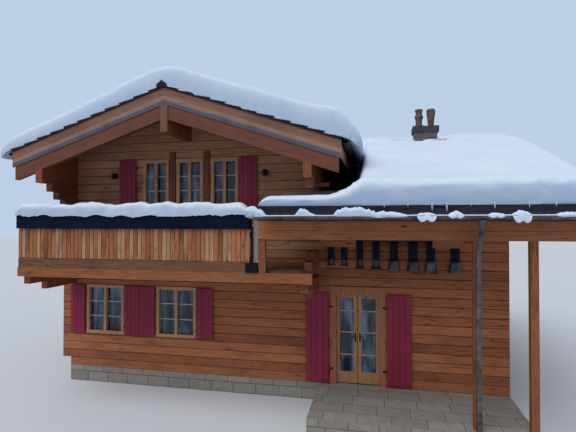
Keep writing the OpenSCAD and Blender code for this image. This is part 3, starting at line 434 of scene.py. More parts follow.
LOG_X = timber("logs_along_the_front", ALONG_X, HONEY, HONEY_DARK, WALL_COURSE)
LOG_Y = timber("logs_along_the_side", ALONG_Y, HONEY, HONEY_DARK, WALL_COURSE)
GABLE_LOG = timber("logs_of_the_gable", ALONG_X, GABLE, GABLE_DARK, WALL_COURSE)
CORBEL = timber("corbel_timber", ALONG_Y, RED_BROWN, RED_DARK, knots=0.3)
RAFTER = timber("rafter_timber", SLOPE, (138, 80, 56), (76, 42, 32), stain=0.3, knots=0.3)
VERGE = timber("weathered_verge_boards", SLOPE, (160, 108, 84), (98, 62, 52), stain=0.4, knots=0.3,
               bands=VERGE_BANDS)
BEAM_X = timber("beam_timber", ALONG_X, (180, 112, 64), RED_DARK)
LINTEL = timber("lintel_planks", ALONG_X, (190, 120, 76), (126, 70, 42), knots=1.0)
POST = timber("post_timber", UPRIGHT, (176, 106, 62), RED_DARK)
RAFTER_POST = timber("gable_post_timber", UPRIGHT, (136, 72, 50), (76, 36, 28))
PURLIN_END = timber("ridge_purlin_end", UPRIGHT, (140, 98, 82), (84, 52, 45), stain=0.5)
# The balcony's end post in navy black: painted shade of the gap between the balcony boards and the corner
# post.
SHADE_BLACK_POST = timber("tarred_post", UPRIGHT, (30, 34, 50), (8, 11, 22), stain=0.4, shine=0.08)
GREY_POST = timber("grey_weathered_post", UPRIGHT, (168, 154, 138), (96, 86, 80), stain=0.4)
DECK = timber("deck_boards", FLAT, (150, 112, 80), (84, 58, 42), toned=True)
SOFFIT = timber("boarding_under_the_roof", ALONG_Y, (140, 90, 58), (74, 46, 32), toned=True)
BALUSTER = timber("balcony_boarding", UPRIGHT, (202, 134, 86), (116, 66, 42), stain=0.8, knots=0.8,
                  toned=True, odd=((190, 148, 112), (122, 88, 66), 0.6))
RAIL = timber("balcony_rail", ALONG_X, (140, 92, 62), (70, 46, 36))
EAVE_BOARD = timber("eave_board_wood", ALONG_Y, (206, 158, 124), (150, 108, 82), stain=0.3)
# The porch roof's boards in the dark blue-grey of painted shade.
PORCH_EDGE_SHADE = timber("dark_weathered_board", ALONG_X, SHADE_GREY, (22, 21, 31), stain=0.4, shine=0.12)
PORCH_BOARD = timber("boards_of_the_porch", ALONG_X, (178, 172, 152), (116, 110, 96), stain=0.4,
                     shine=0.12, bands=PORCH_SHADE_BAND)
# Dark flower boxes, whose navy black is painted shade from under the balcony's snow.
PLANTER_SHADE = timber("planter_boards", ALONG_X, (20, 30, 54), (5, 8, 18), stain=0.4, shine=0.06)
FRAME = timber("window_frame_wood", UPRIGHT, (208, 162, 124), (152, 110, 82), stain=0.15, knots=0.1)
CASING = timber("door_casing_wood", UPRIGHT, (184, 120, 80), (124, 74, 48), stain=0.25, knots=0.4)
LEAF = timber("door_leaf_wood", UPRIGHT, (190, 146, 108), (130, 92, 64), stain=0.2, knots=0.1)
BAR = timber("glazing_bar_paint", ALONG_X, (214, 206, 196), (160, 150, 138), stain=0.1, knots=0.0)
FLOOR_BOARD = timber("inside_boards", FLAT, (196, 150, 104), (140, 98, 64), INSIDE_COURSE)
SHUTTER = paint_finish("shutter_paint_red", (150, 36, 66), (98, 18, 42))
SNOW = snow_finish()
SLATE = slate_finish()
MASONRY = stone_finish("plinth_masonry", (176, 170, 160), (112, 106, 98), 0.24, 0.55)
CHIMNEY = stone_finish("chimney_masonry", (142, 124, 122), (74, 64, 70), 0.20, 0.42, slab=CHIMNEY_SLAB)
CLAY = stone_finish("fired_clay", (124, 96, 84), (56, 44, 42), rough_scale=14.0)
SHEET = metal_finish("weathered_sheet", (116, 108, 112), (58, 54, 60), 0.5, 0.6, 5.0)
IRON = metal_finish("blackened_iron", (44, 46, 46), (14, 15, 17), 0.55, 0.7, 30.0)
BRONZE = metal_finish("aged_bell_metal", (100, 105, 102), (42, 45, 46), 0.38, 0.8, 6.0)
HIDE = leather_finish()
GLASS = glass_finish()

NODE_FINISHES = (
    (MASONRY, "foundation"),
    (FLOOR_BOARD, "ground_floor upper_floor"),
    (LOG_X, "front_wall rear_wall wing_wall_beside_door wing_front_wall wing_wall_over_door"),
    (LOG_X, "wing_rear_wall crossed_log_ends"),
    (LOG_Y, "left_wall right_wall wing_end_wall"),
    (GABLE_LOG, "front_gable"),
    (CORBEL, "corbel_logs purlins"),
    (RAFTER, "verge_rafters"),
    (VERGE, "verge_boards"),
    (SLATE, "main_roof_left main_roof_right"),
    (PORCH_EDGE_SHADE, "porch_roof"),
    (PORCH_BOARD, "porch_fascia"),
    (SOFFIT, "wing_roof_front wing_roof_rear"),
    (SHEET, "gutters downpipe"),
    (CHIMNEY, "chimney_stack"),
    (CLAY, "chimney_pots"),
    (DECK, "balcony_deck"),
    (BEAM_X, "balcony_beam"),
    (POST, "porch_posts"),
    (LINTEL, "porch_lintel"),
    (FRAME, "window_frames"),
    (CASING, "door_frame"),
    (LEAF, "door_leaf_left door_leaf_right"),
    (GLASS, "window_glass door_glass_left door_glass_right"),
    (IRON, "hinge_pins wall_lamps"),
    (HIDE, "bell_straps"),
    (RAIL, "bell_rail"),
    (RAFTER_POST, "gable_posts"),
    (SHADE_BLACK_POST, "balcony_end_post"),
    (PLANTER_SHADE, "planter_boxes"),
    (BRONZE, "cow_bells"),
)
for finish, nodes in NODE_FINISHES:
    for node in nodes.split():
        slots = frame["nodes"][node].data.materials
        slots.clear()
        slots.append(finish)


def linked(name, data):
    """An object that the scene holds."""
    made = bpy.data.objects.new(name, data)
    scene.collection.objects.link(made)
    return made


def mesh_of(name, bm):
    """A mesh from a bmesh, which it ends."""
    mesh = bpy.data.meshes.new(name)
    bm.to_mesh(mesh)
    bm.free()
    return mesh


class Shape:
    """A mesh in the making, in place in the part's frame."""

    def __init__(self, bm=None):
        self.bm = bm or bmesh.new()

    def block(self, start, end):
        """A box from its lowest to its highest corner."""
        centre = (Vector(start) + Vector(end)) / 2
        size = Vector(end) - Vector(start)
        place = Matrix.Translation(centre) @ Matrix.Diagonal((*size, 1))
        bmesh.ops.create_cube(self.bm, size=1, matrix=place)
        return self

    def turned(self, centre, outline, segments=48, flat=1.0):
        """A form turned about an upright axis from (radius, height) points, closed where a radius is 0.

        flat is its depth over its width.
        """
        rings = []
        for radius, height in outline:
            spokes = [Vector((0, 0, height))]
            if radius > 1e-6:
                turns = [2 * math.pi * i / segments for i in range(segments)]
                spokes = [Vector((radius * math.cos(a), radius * math.sin(a) * flat, height)) for a in turns]
            rings.append([self.bm.verts.new(Vector(centre) + spoke) for spoke in spokes])
        for a, b in zip(rings, rings[1:]):
            self.band(a, b)
        if len(rings[0]) > 1 and len(rings[-1]) > 1:
            self.band(rings[-1], rings[0])
        return self

    def band(self, a, b):
        """Faces between two rings. A ring of one point closes a form to a tip."""
        n = max(len(a), len(b))
        for i in range(n):
            j = (i + 1) % n
            corners = [a[i % len(a)], a[j % len(a)], b[j % len(b)], b[i % len(b)]]
            kept = [v for k, v in enumerate(corners) if v not in corners[:k]]
            if len(kept) > 2:
                self.bm.faces.new(kept)

    def rod(self, path, radius, segments=12):
        """A round bar along points, with closed ends."""
        points = [Vector(p) for p in path]
        turns = [2 * math.pi * i / segments for i in range(segments)]
        rings = []
        side = None
        for k, point in enumerate(points):
            ahead = points[min(k + 1, len(points) - 1)] - points[max(k - 1, 0)]
            ahead.normalize()
            if side is None:
                side = ahead.orthogonal().normalized()
            side = (side - ahead * side.dot(ahead)).normalized()
            other = ahead.cross(side)
            spokes = [radius * (math.cos(a) * side + math.sin(a) * other) for a in turns]
            rings.append([self.bm.verts.new(point + spoke) for spoke in spokes])
        for a, b in zip(rings, rings[1:]):
            self.band(a, b)
        self.bm.faces.new(list(reversed(rings[0])))
        self.bm.faces.new(rings[-1])
        return self

    def rows(self, finish, **inputs):
        """What the laid rows make with these inputs."""
        return self.add(ROWS.grow(finish, **inputs))

    def add(self, mesh):
        """Takes a mesh in and removes it."""
        self.bm.from_mesh(mesh)
        bpy.data.meshes.remove(mesh)
        return self

    def bevel(self, width):
        """Eased edges wherever two faces meet at an angle."""
        edges = [e for e in self.bm.edges if len(e.link_faces) == 2 and e.calc_face_angle(0) > 0.6]
        bmesh.ops.bevel(self.bm, geom=edges, offset=width, segments=1, profile=0.6, affect="EDGES")
        return self

    def piece(self, name, finish, slot, body="root", replaces=(), smooth=None):
        """The finished piece, riding on a body. smooth is the angle in degrees below which edges are soft."""
        bmesh.ops.recalc_face_normals(self.bm, faces=self.bm.faces)
        mesh = mesh_of(name, self.bm)
        mesh.materials.clear()
        mesh.materials.append(finish)
        made = linked(name, mesh)
        if smooth:
            mesh.polygons.foreach_set("use_smooth", [True] * len(mesh.polygons))
            mesh.set_sharp_from_angle(angle=math.radians(smooth))
        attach(made, body)
        if replaces:
            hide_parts(*replaces)


class Tree(Net):
    """A Geometry Nodes tree whose named inputs are set on a modifier by their sockets' identifiers."""

    KINDS = {int: "NodeSocketInt", tuple: "NodeSocketVector", type(None): "NodeSocketObject"}

    def __init__(self, name, **inputs):
        super().__init__(bpy.data.node_groups.new(name, "GeometryNodeTree"))
        face = self.tree.interface
        self.ids = {}
        for key, value in inputs.items():
            socket = face.new_socket(key, in_out="INPUT", socket_type=self.KINDS[type(value)])
            if value is not None:
                socket.default_value = value
            self.ids[key] = socket.identifier
        socket = face.new_socket("Finish", in_out="INPUT", socket_type="NodeSocketMaterial")
        self.ids["Finish"] = socket.identifier
        face.new_socket("Geometry", in_out="OUTPUT", socket_type="NodeSocketGeometry")
        enter = self.tree.nodes.new("NodeGroupInput")
        self.inputs = {key: Sock(self, enter.outputs[key]) for key in self.ids}

    def __getitem__(self, key):
        return self.inputs[key]

    def end(self, shape):
        """The tree's output: the shape as real faces in its finish."""
        real = self.node("GeometryNodeRealizeInstances", None, {"Geometry": shape})
        coated = self.node("GeometryNodeSetMaterial", None, {"Geometry": real, "Material": self["Finish"]})
        self.feed(self.tree.nodes.new("NodeGroupOutput").inputs["Geometry"], coated)

    def grow(self, finish, **values):
        """The plain mesh that the tree makes with these inputs."""
        holder = linked("holder", bpy.data.meshes.new("holder"))
        modifier = holder.modifiers.new("grow", "NODES")
        modifier.node_group = self.tree
        for key, value in {**values, "Finish": finish}.items():
            modifier[self.ids[key]] = value
        graph = bpy.context.evaluated_depsgraph_get()
        mesh = bpy.data.meshes.new_from_object(holder.evaluated_get(graph), depsgraph=graph)
        holder.modifiers.remove(modifier)
        bpy.data.objects.remove(holder)
        return mesh


def laid_rows():
    """Boards, tiles or plates laid side by side in rows, each with a small error and a tone of its own."""
    none = (0.0, 0.0, 0.0)
    t = Tree(
        "laid_rows", Shape=None, Columns=1, Rows=1, Start=none, Column_Step=(0.1, 0.0, 0.0),
        Row_Step=(0.0, 0.0, 0.1), Stagger=none, Turn=none, Error=none, Turn_Error=none, Seed=1,
    )
    number = t.node("GeometryNodeInputIndex")
    row = (number / t["Columns"]).floor()
    column = number - row * t["Columns"]

    def times(vector, factor):
        return t.node("ShaderNodeVectorMath", {"operation": "SCALE"}, {"Vector": vector, "Scale": factor})

    def plus(first, second):
        return t.node("ShaderNodeVectorMath", {"operation": "ADD"}, (first, second))

    def stray(reach, seed):
        inputs = {0: times(reach, -1.0), 1: reach, "ID": number, "Seed": seed}
        return t.node("FunctionNodeRandomValue", {"data_type": "FLOAT_VECTOR"}, inputs)

    place = plus(t["Start"], times(t["Column_Step"], column))
    place = plus(place, times(t["Row_Step"], row))
    place = plus(place, times(t["Stagger"], row % 2.0))
    place = plus(place, stray(t["Error"], t["Seed"]))
    points = t.node("GeometryNodePoints", None, {"Count": t["Columns"] * t["Rows"], "Position": place})
    shape = t.node("GeometryNodeObjectInfo", None, {"Object": t["Shape"]}, "Geometry")
    turn = plus(t["Turn"], stray(t["Turn_Error"], t["Seed"] + 1))
    laid = {"Points": points, "Instance": shape, "Rotation": turn}
    rows = t.node("GeometryNodeInstanceOnPoints", None, laid)
    seeds = {"ID": number, "Seed": t["Seed"] + 2}
    tone = t.node("FunctionNodeRandomValue", {"data_type": "FLOAT"}, seeds, 1)
    stored = {"Geometry": rows, "Name": "tone", "Value": tone}
    t.end(t.node("GeometryNodeStoreNamedAttribute", {"data_type": "FLOAT", "domain": "INSTANCE"}, stored))
    return t


ROWS = laid_rows()
PATTERNS = []


def pattern(name, bm):
    """A hidden shape that the rows repeat. It is removed when all is laid."""
    made = linked(name, mesh_of(name, bm))
    PATTERNS.append(made)
    return made


def board(name, size, ease=0.003):
    """A sawn board with eased edges, centred on its own origin."""
    bm = bmesh.new()
    bmesh.ops.create_cube(bm, size=1, matrix=Matrix.Diagonal((*size, 1)))
    bmesh.ops.bevel(bm, geom=list(bm.edges), offset=ease, segments=1, affect="EDGES")
    return pattern(name, bm)


def single_board(name, finish, slot, start, end, ease=0.003):
    Shape().block(start, end).bevel(ease).piece(name, finish, slot)


def even(start, end, count):
    """Places at even distances, with start and end among them."""
    return [start + (end - start) * i / (count - 1) for i in range(count)]


def solids(node):
    """The boxes of the separate solids that a node holds, in order of place."""
    bm = bmesh.new()
    bm.from_mesh(frame["nodes"][node].data)
    bmesh.ops.remove_doubles(bm, verts=bm.verts, dist=0.00001)
    left = set(bm.verts)
    boxes = []
    while left:
        group = [left.pop()]
        for vert in group:
            others = [edge.other_vert(vert) for edge in vert.link_edges]
            group += [other for other in others if other in left]
            left.difference_update(others)
        boxes.append([Vector([pick(v.co[k] for v in group) for k in range(3)]) for pick in (min, max)])
    bm.free()
    return sorted(boxes, key=lambda box: [round(c, 4) for corner in box for c in corner])


# A slate's width and thickness, the gap beside it and its eased edge
SLATE_WIDTH, SLATE_THICK, SLATE_GAP, SLATE_EASE = 0.24, 0.013, 0.006, 0.002


def slope_tiles():
    """Split slates over both slopes of the main roof, past the verge boards at both ends."""
    lap, past = 0.045, 0.021
    length = COURSE_RUN / math.cos(ROOF_ANGLE) + lap
    tile = board("slate", (length, SLATE_WIDTH - SLATE_GAP, SLATE_THICK), SLATE_EASE)
    drop = math.atan((COURSE_RUN * PITCH - TILE_STEP) / COURSE_RUN)
    first = VERGE_FRONT - past + SLATE_WIDTH / 2
    across = VERGE_REAR + past - SLATE_WIDTH / 2 - first
    columns = int(across / SLATE_WIDTH) + 1
    top = (stepped_tiles(0.001) + stepped_tiles(COURSE_RUN - 0.001)) / 2 + SLATE_THICK * 0.45
    for side, name in ((-1, "left"), (1, "right")):
        Shape().rows(
            SLATE,
            Shape=tile,
            Columns=columns,
            Rows=COURSES,
            Start=(side * COURSE_RUN * 0.5, first, top),
            Column_Step=(0.0, across / (columns - 1), 0.0),
            Row_Step=(side * COURSE_RUN, 0.0, -PITCH * COURSE_RUN),
            Turn=(0.0, side * drop, 0.0),
            Error=(0.010, 0.003, 0.0015),
            Turn_Error=(0.006, 0.006, 0.010),
            Seed=11 + side,
        ).piece("slates_" + name, SLATE, "roof_tile")


def ridge_caps():
    """Angled caps over the ridge, each lapping the next."""
    half, thick, peak, length, lap, past = 0.118, 0.086, 0.128, 0.42, 0.05, 0.045
    drop = half * PITCH * 1.2
    top = thick - drop
    section = [(-half, -drop), (0.0, 0.0), (half, -drop), (half, top), (0.0, peak), (-half, top)]
    cap = Shape()
    ends = [[cap.bm.verts.new((x, y, z)) for x, z in section] for y in (-length / 2, length / 2)]
    cap.band(*ends)
    cap.bm.faces.new(list(reversed(ends[0])))
    cap.bm.faces.new(ends[1])
    start = VERGE_FRONT - past + length / 2
    run = VERGE_REAR + past - length / 2 - start
    count = int(run / (length - lap)) + 1
    Shape().rows(
        SLATE,
        Shape=pattern("ridge_cap", cap.bm),
        Columns=count,
        Start=(-0.03, start, RIDGE - 0.034),
        Column_Step=(0.0, run / (count - 1), 0.0),
        Error=(0.004, 0.002, 0.004),
        Turn_Error=(0.012, 0.01, 0.01),
        Seed=17,
    ).piece("caps_on_the_ridge", SLATE, "roof_tile")


def wing_slates():
    """Slates on the part of the wing's roof that the main eave keeps free of snow."""
    step, lap, rows = 0.30, 0.05, 8
    slope = math.atan(WING_PITCH)
    run = step * math.cos(slope)
    left, right = HALF_BLOCK + 0.02, HALF_ROOF + 0.62
    y = FRONT + run / 2
    Shape().rows(
        SLATE,
        Shape=board("wing_slate", (SLATE_WIDTH - SLATE_GAP, step + lap, SLATE_THICK), SLATE_EASE),
        Columns=int((right - left) / SLATE_WIDTH),
        Rows=rows,
        Start=(left + SLATE_WIDTH / 2, y, wing_line(y) + SLATE_THICK),
        Column_Step=(SLATE_WIDTH, 0.0, 0.0),
        Row_Step=(0.0, run, run * WING_PITCH),
        Stagger=(SLATE_WIDTH * 0.3, 0.0, 0.0),
        Turn=(slope - 0.03, 0.0, 0.0),
        Error=(0.003, 0.006, 0.001),
        Turn_Error=(0.008, 0.006, 0.008),
        Seed=19,
    ).piece("slates_of_the_wing", SLATE, "roof_tile")


def soffit_boards():
    """Boarding under both overhangs of the main roof, seen from below."""
    width, thick = 0.145, 0.018
    run = width * math.cos(ROOF_ANGLE)
    start_x = run / 2 + 0.01
    top = tile_line(start_x) - ROOF_DEPTH - thick * 0.55
    shape = Shape()
    for end, (y0, y1) in enumerate(((VERGE_FRONT + 0.03, FRONT + 0.02), (REAR - 0.02, VERGE_REAR - 0.03))):
        plank = board("soffit_board", (width - 0.004, y1 - y0, thick), 0.003)
        for side in (-1, 1):
            shape.rows(
                SOFFIT,
                Shape=plank,
                Columns=int((HALF_ROOF - 0.02) / run),
                Start=(side * start_x, (y0 + y1) / 2, top),
                Column_Step=(side * run, 0.0, -run * PITCH),
                Turn=(0.0, side * ROOF_ANGLE, 0.0),
                Error=(0.0, 0.0, 0.001),
                Seed=21 + end * 2 + side,
            )
    shape.piece("boarding_of_the_overhangs", SOFFIT, "weathered_board")


def eave_boards():
    """Boards along the main eaves, under the roof. The wing's roof ends the right ones."""
    out, thick, tall = HALF_ROOF - 0.008, 0.034, 0.23
    top = tile_line(out) - ROOF_DEPTH
    reach = low("verge_rafters").y + 0.10
    joint = -(WING_RIDGE - top + tall) / WING_PITCH - 0.05
    shape = Shape()
    for x, y0, y1 in ((-out, reach, -reach), (out, reach, joint), (out, -joint, -reach)):
        near, far = sorted((x, x - math.copysign(thick, x)))
        shape.block((near, y0, top - tall), (far, y1, top + 0.004))
    shape.bevel(0.004).piece("boards_under_the_main_eaves", EAVE_BOARD, "red_timber")


def purlin_facing():
    """The end of the ridge purlin, which reaches up between the rafters to the verge boards."""
    half, foot, head = 0.086, RIDGE - 1.012, RIDGE - 0.428
    y = low("verge_rafters").y
    start, end = (-half, y - 0.024, foot), (half, y + 0.001, head)
    single_board("facing_of_the_ridge_purlin", PURLIN_END, "red_timber", start, end, 0.004)


def balcony_front():
    """Upright boards round the balcony, between a rail and a foot board."""
    start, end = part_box("balcony_panel")
    width, gap, thick = 0.092, 0.010, 0.024
    foot = start.z + 0.21
    tall, middle = end.z - foot, (foot + end.z) / 2
    count = int((end.x - start.x) / width)
    length = end.y - start.y
    side_count = int(length / width)
    Shape().rows(
        BALUSTER,
        Shape=board("baluster_board", (width - gap, thick, tall), 0.004),
        Columns=count,
        Start=(start.x + width / 2, start.y + 0.013, middle),
        Column_Step=((end.x - start.x - width) / (count - 1), 0.0, 0.0),
        Error=(0.002, 0.0012, 0.004),
        Turn_Error=(0.0, 0.006, 0.0),
        Seed=31,
    ).rows(
        BALUSTER,
        Shape=board("side_board", (thick, width - gap, tall), 0.004),
        Columns=side_count,
        Start=(start.x + 0.016, start.y + 0.05 + width / 2, middle),
        Column_Step=(0.0, (length - 0.06 - width) / (side_count - 1), 0.0),
        Error=(0.0012, 0.0015, 0.004),
        Seed=33,
    ).piece("balcony_boards", BALUSTER, "balcony_boards", replaces=("balcony_panel",))
    face = 0.026
    back, top = start.y + face, foot - 0.008
    rails = Shape().block(start, (end.x, back, top))
    rails.block((start.x, start.y + 0.002, start.z), (start.x + face, end.y, top))
    for z in (foot - 0.02, end.z - 0.17):
        rails.block((start.x, back, z), (end.x, back + 0.049, z + 0.10))
    rails.bevel(0.004).piece("balcony_rails", RAIL, "balcony_timber")


# Half sections of a bell, down its outside and up its inside, in shares of half its width and of its height
CAST_BELL = [
    (0.0, 0.0), (0.32, -0.005), (0.50, -0.04), (0.58, -0.12), (0.60, -0.24), (0.61, -0.30), (0.64, -0.31),
    (0.64, -0.34), (0.62, -0.35), (0.64, -0.50), (0.70, -0.66), (0.72, -0.70), (0.76, -0.71), (0.78, -0.75),
    (0.77, -0.77), (0.88, -0.88), (0.985, -0.965), (1.0, -0.99), (0.98, -1.0), (0.93, -0.985), (0.84, -0.90),
    (0.70, -0.74), (0.60, -0.56), (0.55, -0.30), (0.50, -0.12), (0.30, -0.06), (0.0, -0.06),
]
SHEET_BELL = [
    (0.0, 0.0), (0.50, -0.005), (0.68, -0.03), (0.77, -0.10), (0.81, -0.22), (0.84, -0.225), (0.845, -0.26),
    (0.825, -0.27), (0.88, -0.52), (0.93, -0.74), (0.955, -0.84), (0.985, -0.85), (1.0, -0.90), (1.0, -0.995),
    (0.985, -1.0), (0.95, -0.99), (0.94, -0.88), (0.89, -0.72), (0.84, -0.50), (0.78, -0.24), (0.73, -0.11),
    (0.64, -0.06), (0.4, -0.045), (0.0, -0.045),
]
# Each bell's width, height and form, half the distance between its staple's feet, and its strap's width
BELLS = [
    (0.190, 0.145, CAST_BELL, 0.040, 0.140),
    (0.180, 0.150, CAST_BELL, 0.038, 0.138),
    (0.215, 0.200, CAST_BELL, 0.046, 0.140),
    (0.235, 0.210, CAST_BELL, 0.050, 0.150),
    (0.255, 0.235, SHEET_BELL, 0.080, 0.165),
    (0.280, 0.225, SHEET_BELL, 0.090, 0.190),
    (0.270, 0.255, SHEET_BELL, 0.086, 0.172),
    (0.270, 0.240, SHEET_BELL, 0.086, 0.182),
]
# The rod that the straps hang on, and the middle of the row of bells
ROD_Z = 3.560
BELL_AXIS_Y = (low("bell_straps").y + high("bell_straps").y) / 2


def bell_places():
    """(middle, top of the staple) of each bell, from the left."""
    bells = solids("cow_bells")
    return [
        ((left.x + right.x) / 2, max(b.z for a, b in bells if a.x < right.x and b.x > left.x))
        for left, right in solids("bell_straps")
    ]


def cow_bells():
    """Bells with a rolled rim and bands, each with its staple and clapper."""
    metal, iron = Shape(), Shape()
    wire, stem, ease = 0.006, 0.005, 0.008
    for (x, top), (width, tall, form, foot, strap) in zip(bell_places(), BELLS):
        crown, bar = top - 0.027, top - wire
        deep = 0.80 if form is SHEET_BELL else 0.95
        outline = [(r * width / 2, z * tall) for r, z in reversed(form)]
        metal.turned((x, BELL_AXIS_Y, crown), outline, 48, deep)
        reach = strap / 2 + 0.010
        arch = [(-foot, crown - wire), (-reach, crown + 0.010), (-reach, bar - ease), (-reach + ease, bar)]
        path = arch + [(-a, z) for a, z in reversed(arch)]
        iron.rod([(x + a, BELL_AXIS_Y, z) for a, z in path], wire, 10)
        hang = crown - tall * 0.90
        iron.rod([(x, BELL_AXIS_Y, crown - 0.05 * tall - 0.004), (x, BELL_AXIS_Y, hang)], stem, 10)
        ball = width * 0.11
        turns = [math.pi * i / 8 for i in reversed(range(9))]
        iron.turned((x, BELL_AXIS_Y, hang), [(ball * math.sin(a), ball * math.cos(a)) for a in turns], 20)
    metal.piece("cow_bells_with_their_bands", BRONZE, "bell_bronze", replaces=("cow_bells",), smooth=38)
    iron.piece("staples_and_clappers", IRON, "dark_iron", smooth=50)


def bell_straps():
    """Broad hide straps, looped over the rod and under each bell's staple, with stitches and a buckle."""
    hide, iron = Shape(), Shape()
    thick, inner = 0.009, 0.022
    section = [(-1, 0.25), (-0.97, 0), (0.97, 0), (1, 0.25), (1, 0.75), (0.97, 1), (-0.97, 1), (-1, 0.75)]
    stitch, pitch = board("stitch", (0.003, 0.002, 0.008), 0.0006), 0.014
    face = BELL_AXIS_Y - inner - thick - 0.0006
    turns = [math.pi * i / 12 for i in range(13)]
    for (x, top), (*_, width) in zip(bell_places(), BELLS):
        z_high, z_low = ROD_Z - 0.006, top + 0.0097
        path = []
        for side, here, there in ((1, z_high, z_low), (-1, z_low, z_high)):
            path += [(-side * math.cos(a), here, side * math.sin(a)) for a in turns]
            path += [(side, z, 0) for z in even(here, there, 18)[1:-1]]
        rings = []
        for out_y, z, out_z in path:
            points = [(x + u * width / 2, inner + v * thick) for u, v in section]
            rings.append([hide.bm.verts.new((a, BELL_AXIS_Y + out_y * r, z + out_z * r)) for a, r in points])
        for a, b in zip(rings, rings[1:] + rings[:1]):
            hide.band(a, b)
        hide.rows(
            HIDE,
            Shape=stitch,
            Columns=2,
            Rows=int((z_high - z_low - 0.06) / pitch),
            Start=(x - width / 2 + 0.010, face, z_low + 0.055),
            Column_Step=(width - 0.020, 0.0, 0.0),
            Row_Step=(0.0, 0.0, pitch),
        )
        buckle = z_low + 0.42 * (z_high - z_low)
        wide, tall = width / 2 + 0.006, 0.022
        corners = [(-wide, -tall), (wide, -tall), (wide, tall), (-wide, tall)]
        ring = [(x + a, face - 0.003, buckle + b) for a, b in corners]
        for a, b in zip(ring, ring[1:] + ring[:1]):
            iron.rod([a, b], 0.0035, 8)
        iron.rod([(x, face - 0.004, buckle - tall), (x, face - 0.006, buckle + 0.026)], 0.003, 8)
    hide.piece("bell_straps_of_hide", HIDE, "strap_leather", replaces=("bell_straps",), smooth=40)
    iron.piece("strap_buckles", IRON, "dark_iron", smooth=40)


# The ends of the boards over the end straps, and the heights of their edges and of the blocks behind them
END_BOARDS = ((3.225, 4.04), (5.645, 6.27))
END_BOARD_FOOT, END_BOARD_HEAD = 3.470, 3.636
BLOCK_FOOT, BLOCK_HEAD = 3.480, 3.525


def rail_boards():
    """Short boards in front of the straps at both ends of the row, on blocks from the rail."""
    thick, inset, half = 0.022, 0.03, 0.018
    face = low("bell_straps").y - 0.006
    wall = low("wing_wall_over_door").y - 0.001
    shape = Shape()
    for x0, x1 in END_BOARDS:
        shape.block((x0, face - thick, END_BOARD_FOOT), (x1, face, END_BOARD_HEAD))
        for x in (x0 + inset, x1 - inset):
            shape.block((x - half, face - 0.001, BLOCK_FOOT), (x + half, wall, BLOCK_HEAD))
    shape.bevel(0.003).piece("boards_over_the_end_straps", LINTEL, "rail_wood")


# Outer and inner radius of a shutter's eye, its height, and the share of the shutter's height to it
EYE, EYE_BORE, EYE_TALL, EYE_INSET = 0.012, 0.0063, 0.040, 0.14


def hinge_line(node):
    """A shutter's side (1 left, -1 right), the x of its hinge line and the feet of its two eyes."""
    start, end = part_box(node)
    side = 1 if node.endswith("left") else -1
    inset = EYE_INSET * (end.z - start.z)
    eyes = start.z + inset, end.z - inset - EYE_TALL
    return side, (end.x if side > 0 else start.x) - side * EYE, eyes


def shutter_boards():
    """Each shutter as four boards with eased edges, ledges on its back and two eyes on its hinge line."""
    edge, half, thick, count, ledge = 0.015, 0.017, 0.024, 4, 0.045
    for node in [n for n in frame["nodes"] if "shutter" in n]:
        start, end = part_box(node)
        side, axis, eyes = hinge_line(node)
        x0, x1 = sorted((axis - side * edge, start.x if side > 0 else end.x))
        width = (x1 - x0) / count
        tall = end.z - start.z
        middle = (start.y + end.y) / 2
        front = middle - half
        ledges = Shape()
        for share in (EYE_INSET, 1 - EYE_INSET):
            z = start.z + share * tall
            ledges.block((x0 + 0.02, front + thick - 0.001, z - ledge), (x1 - 0.02, middle + half, z + ledge))
        shape = Shape().add(mesh_of("ledges", ledges.bevel(0.002).bm))
        for z in eyes:
            bore = [(EYE_BORE, 0.0), (EYE, 0.0), (EYE, EYE_TALL), (EYE_BORE, EYE_TALL)]
            shape.turned((axis, middle, z), bore, 24)
            near, far = sorted((axis - side * 0.0075, axis - side * (edge + 0.03)))
            shape.block((near, middle - 0.005, z), (far, middle + 0.005, z + EYE_TALL))
        shape.rows(
            SHUTTER,
            Shape=board("shutter_board", (width - 0.003, thick, tall), 0.004),
            Columns=count,
            Start=(x0 + width / 2, front + thick / 2, (start.z + end.z) / 2),
            Column_Step=(width, 0.0, 0.0),
            Seed=41 + len(node),
        ).piece(node + "_boards", SHUTTER, "shutter_paint", body=node, replaces=(node,))


DOOR_BAR_HEIGHTS = (1.04, 1.54, 2.02)


def glazing_bars():
    """Thin bars across every window's and door's panes, on both faces."""
    half, door_half, past = 0.011, 0.014, 0.012
    shape = Shape()
    for start, end in solids("window_glass"):
        flat = 1 if end.y - start.y < end.x - start.x else 0
        for share in (1 / 3, 2 / 3):
            z = start.z + share * (end.z - start.z)
            a, b = start.copy(), end.copy()
            a.z, b.z = z - half, z + half
            a[flat] -= half
            b[flat] += half
            shape.block(a, b)
    shape.piece("glazing_bars", BAR, "frame_wood")
    for side in ("left", "right"):
        shape = Shape()
        for start, end in solids("door_glass_" + side):
            for z in DOOR_BAR_HEIGHTS:
                near, far = (start.x, start.y - past, z - door_half), (end.x, end.y + past, z + door_half)
                shape.block(near, far)
        name = "bars_of_the_" + side + "_door_leaf"
        shape.bevel(0.003).piece(name, FRAME, "frame_wood", body="door_leaf_" + side)


def profile(stops, x):
    """A smooth height between (place, height) stops."""
    if x <= stops[0][0]:
        return stops[0][1]
    for (xa, ha), (xb, hb) in zip(stops, stops[1:]):
        if x <= xb:
            return ha + (hb - ha) * soft((x - xa) / (xb - xa))
    return stops[-1][1]


def soft(value):
    """0 below 0 and 1 above 1, smooth between them."""
    value = min(1.0, max(0.0, value))
    return value * value * (3 - 2 * value)


def lump(x, y, z=0.0, scale=1.0):
    """Slow, steady unevenness from -1 to 1."""
    return noise.noise(Vector((x, y, z)) * scale)


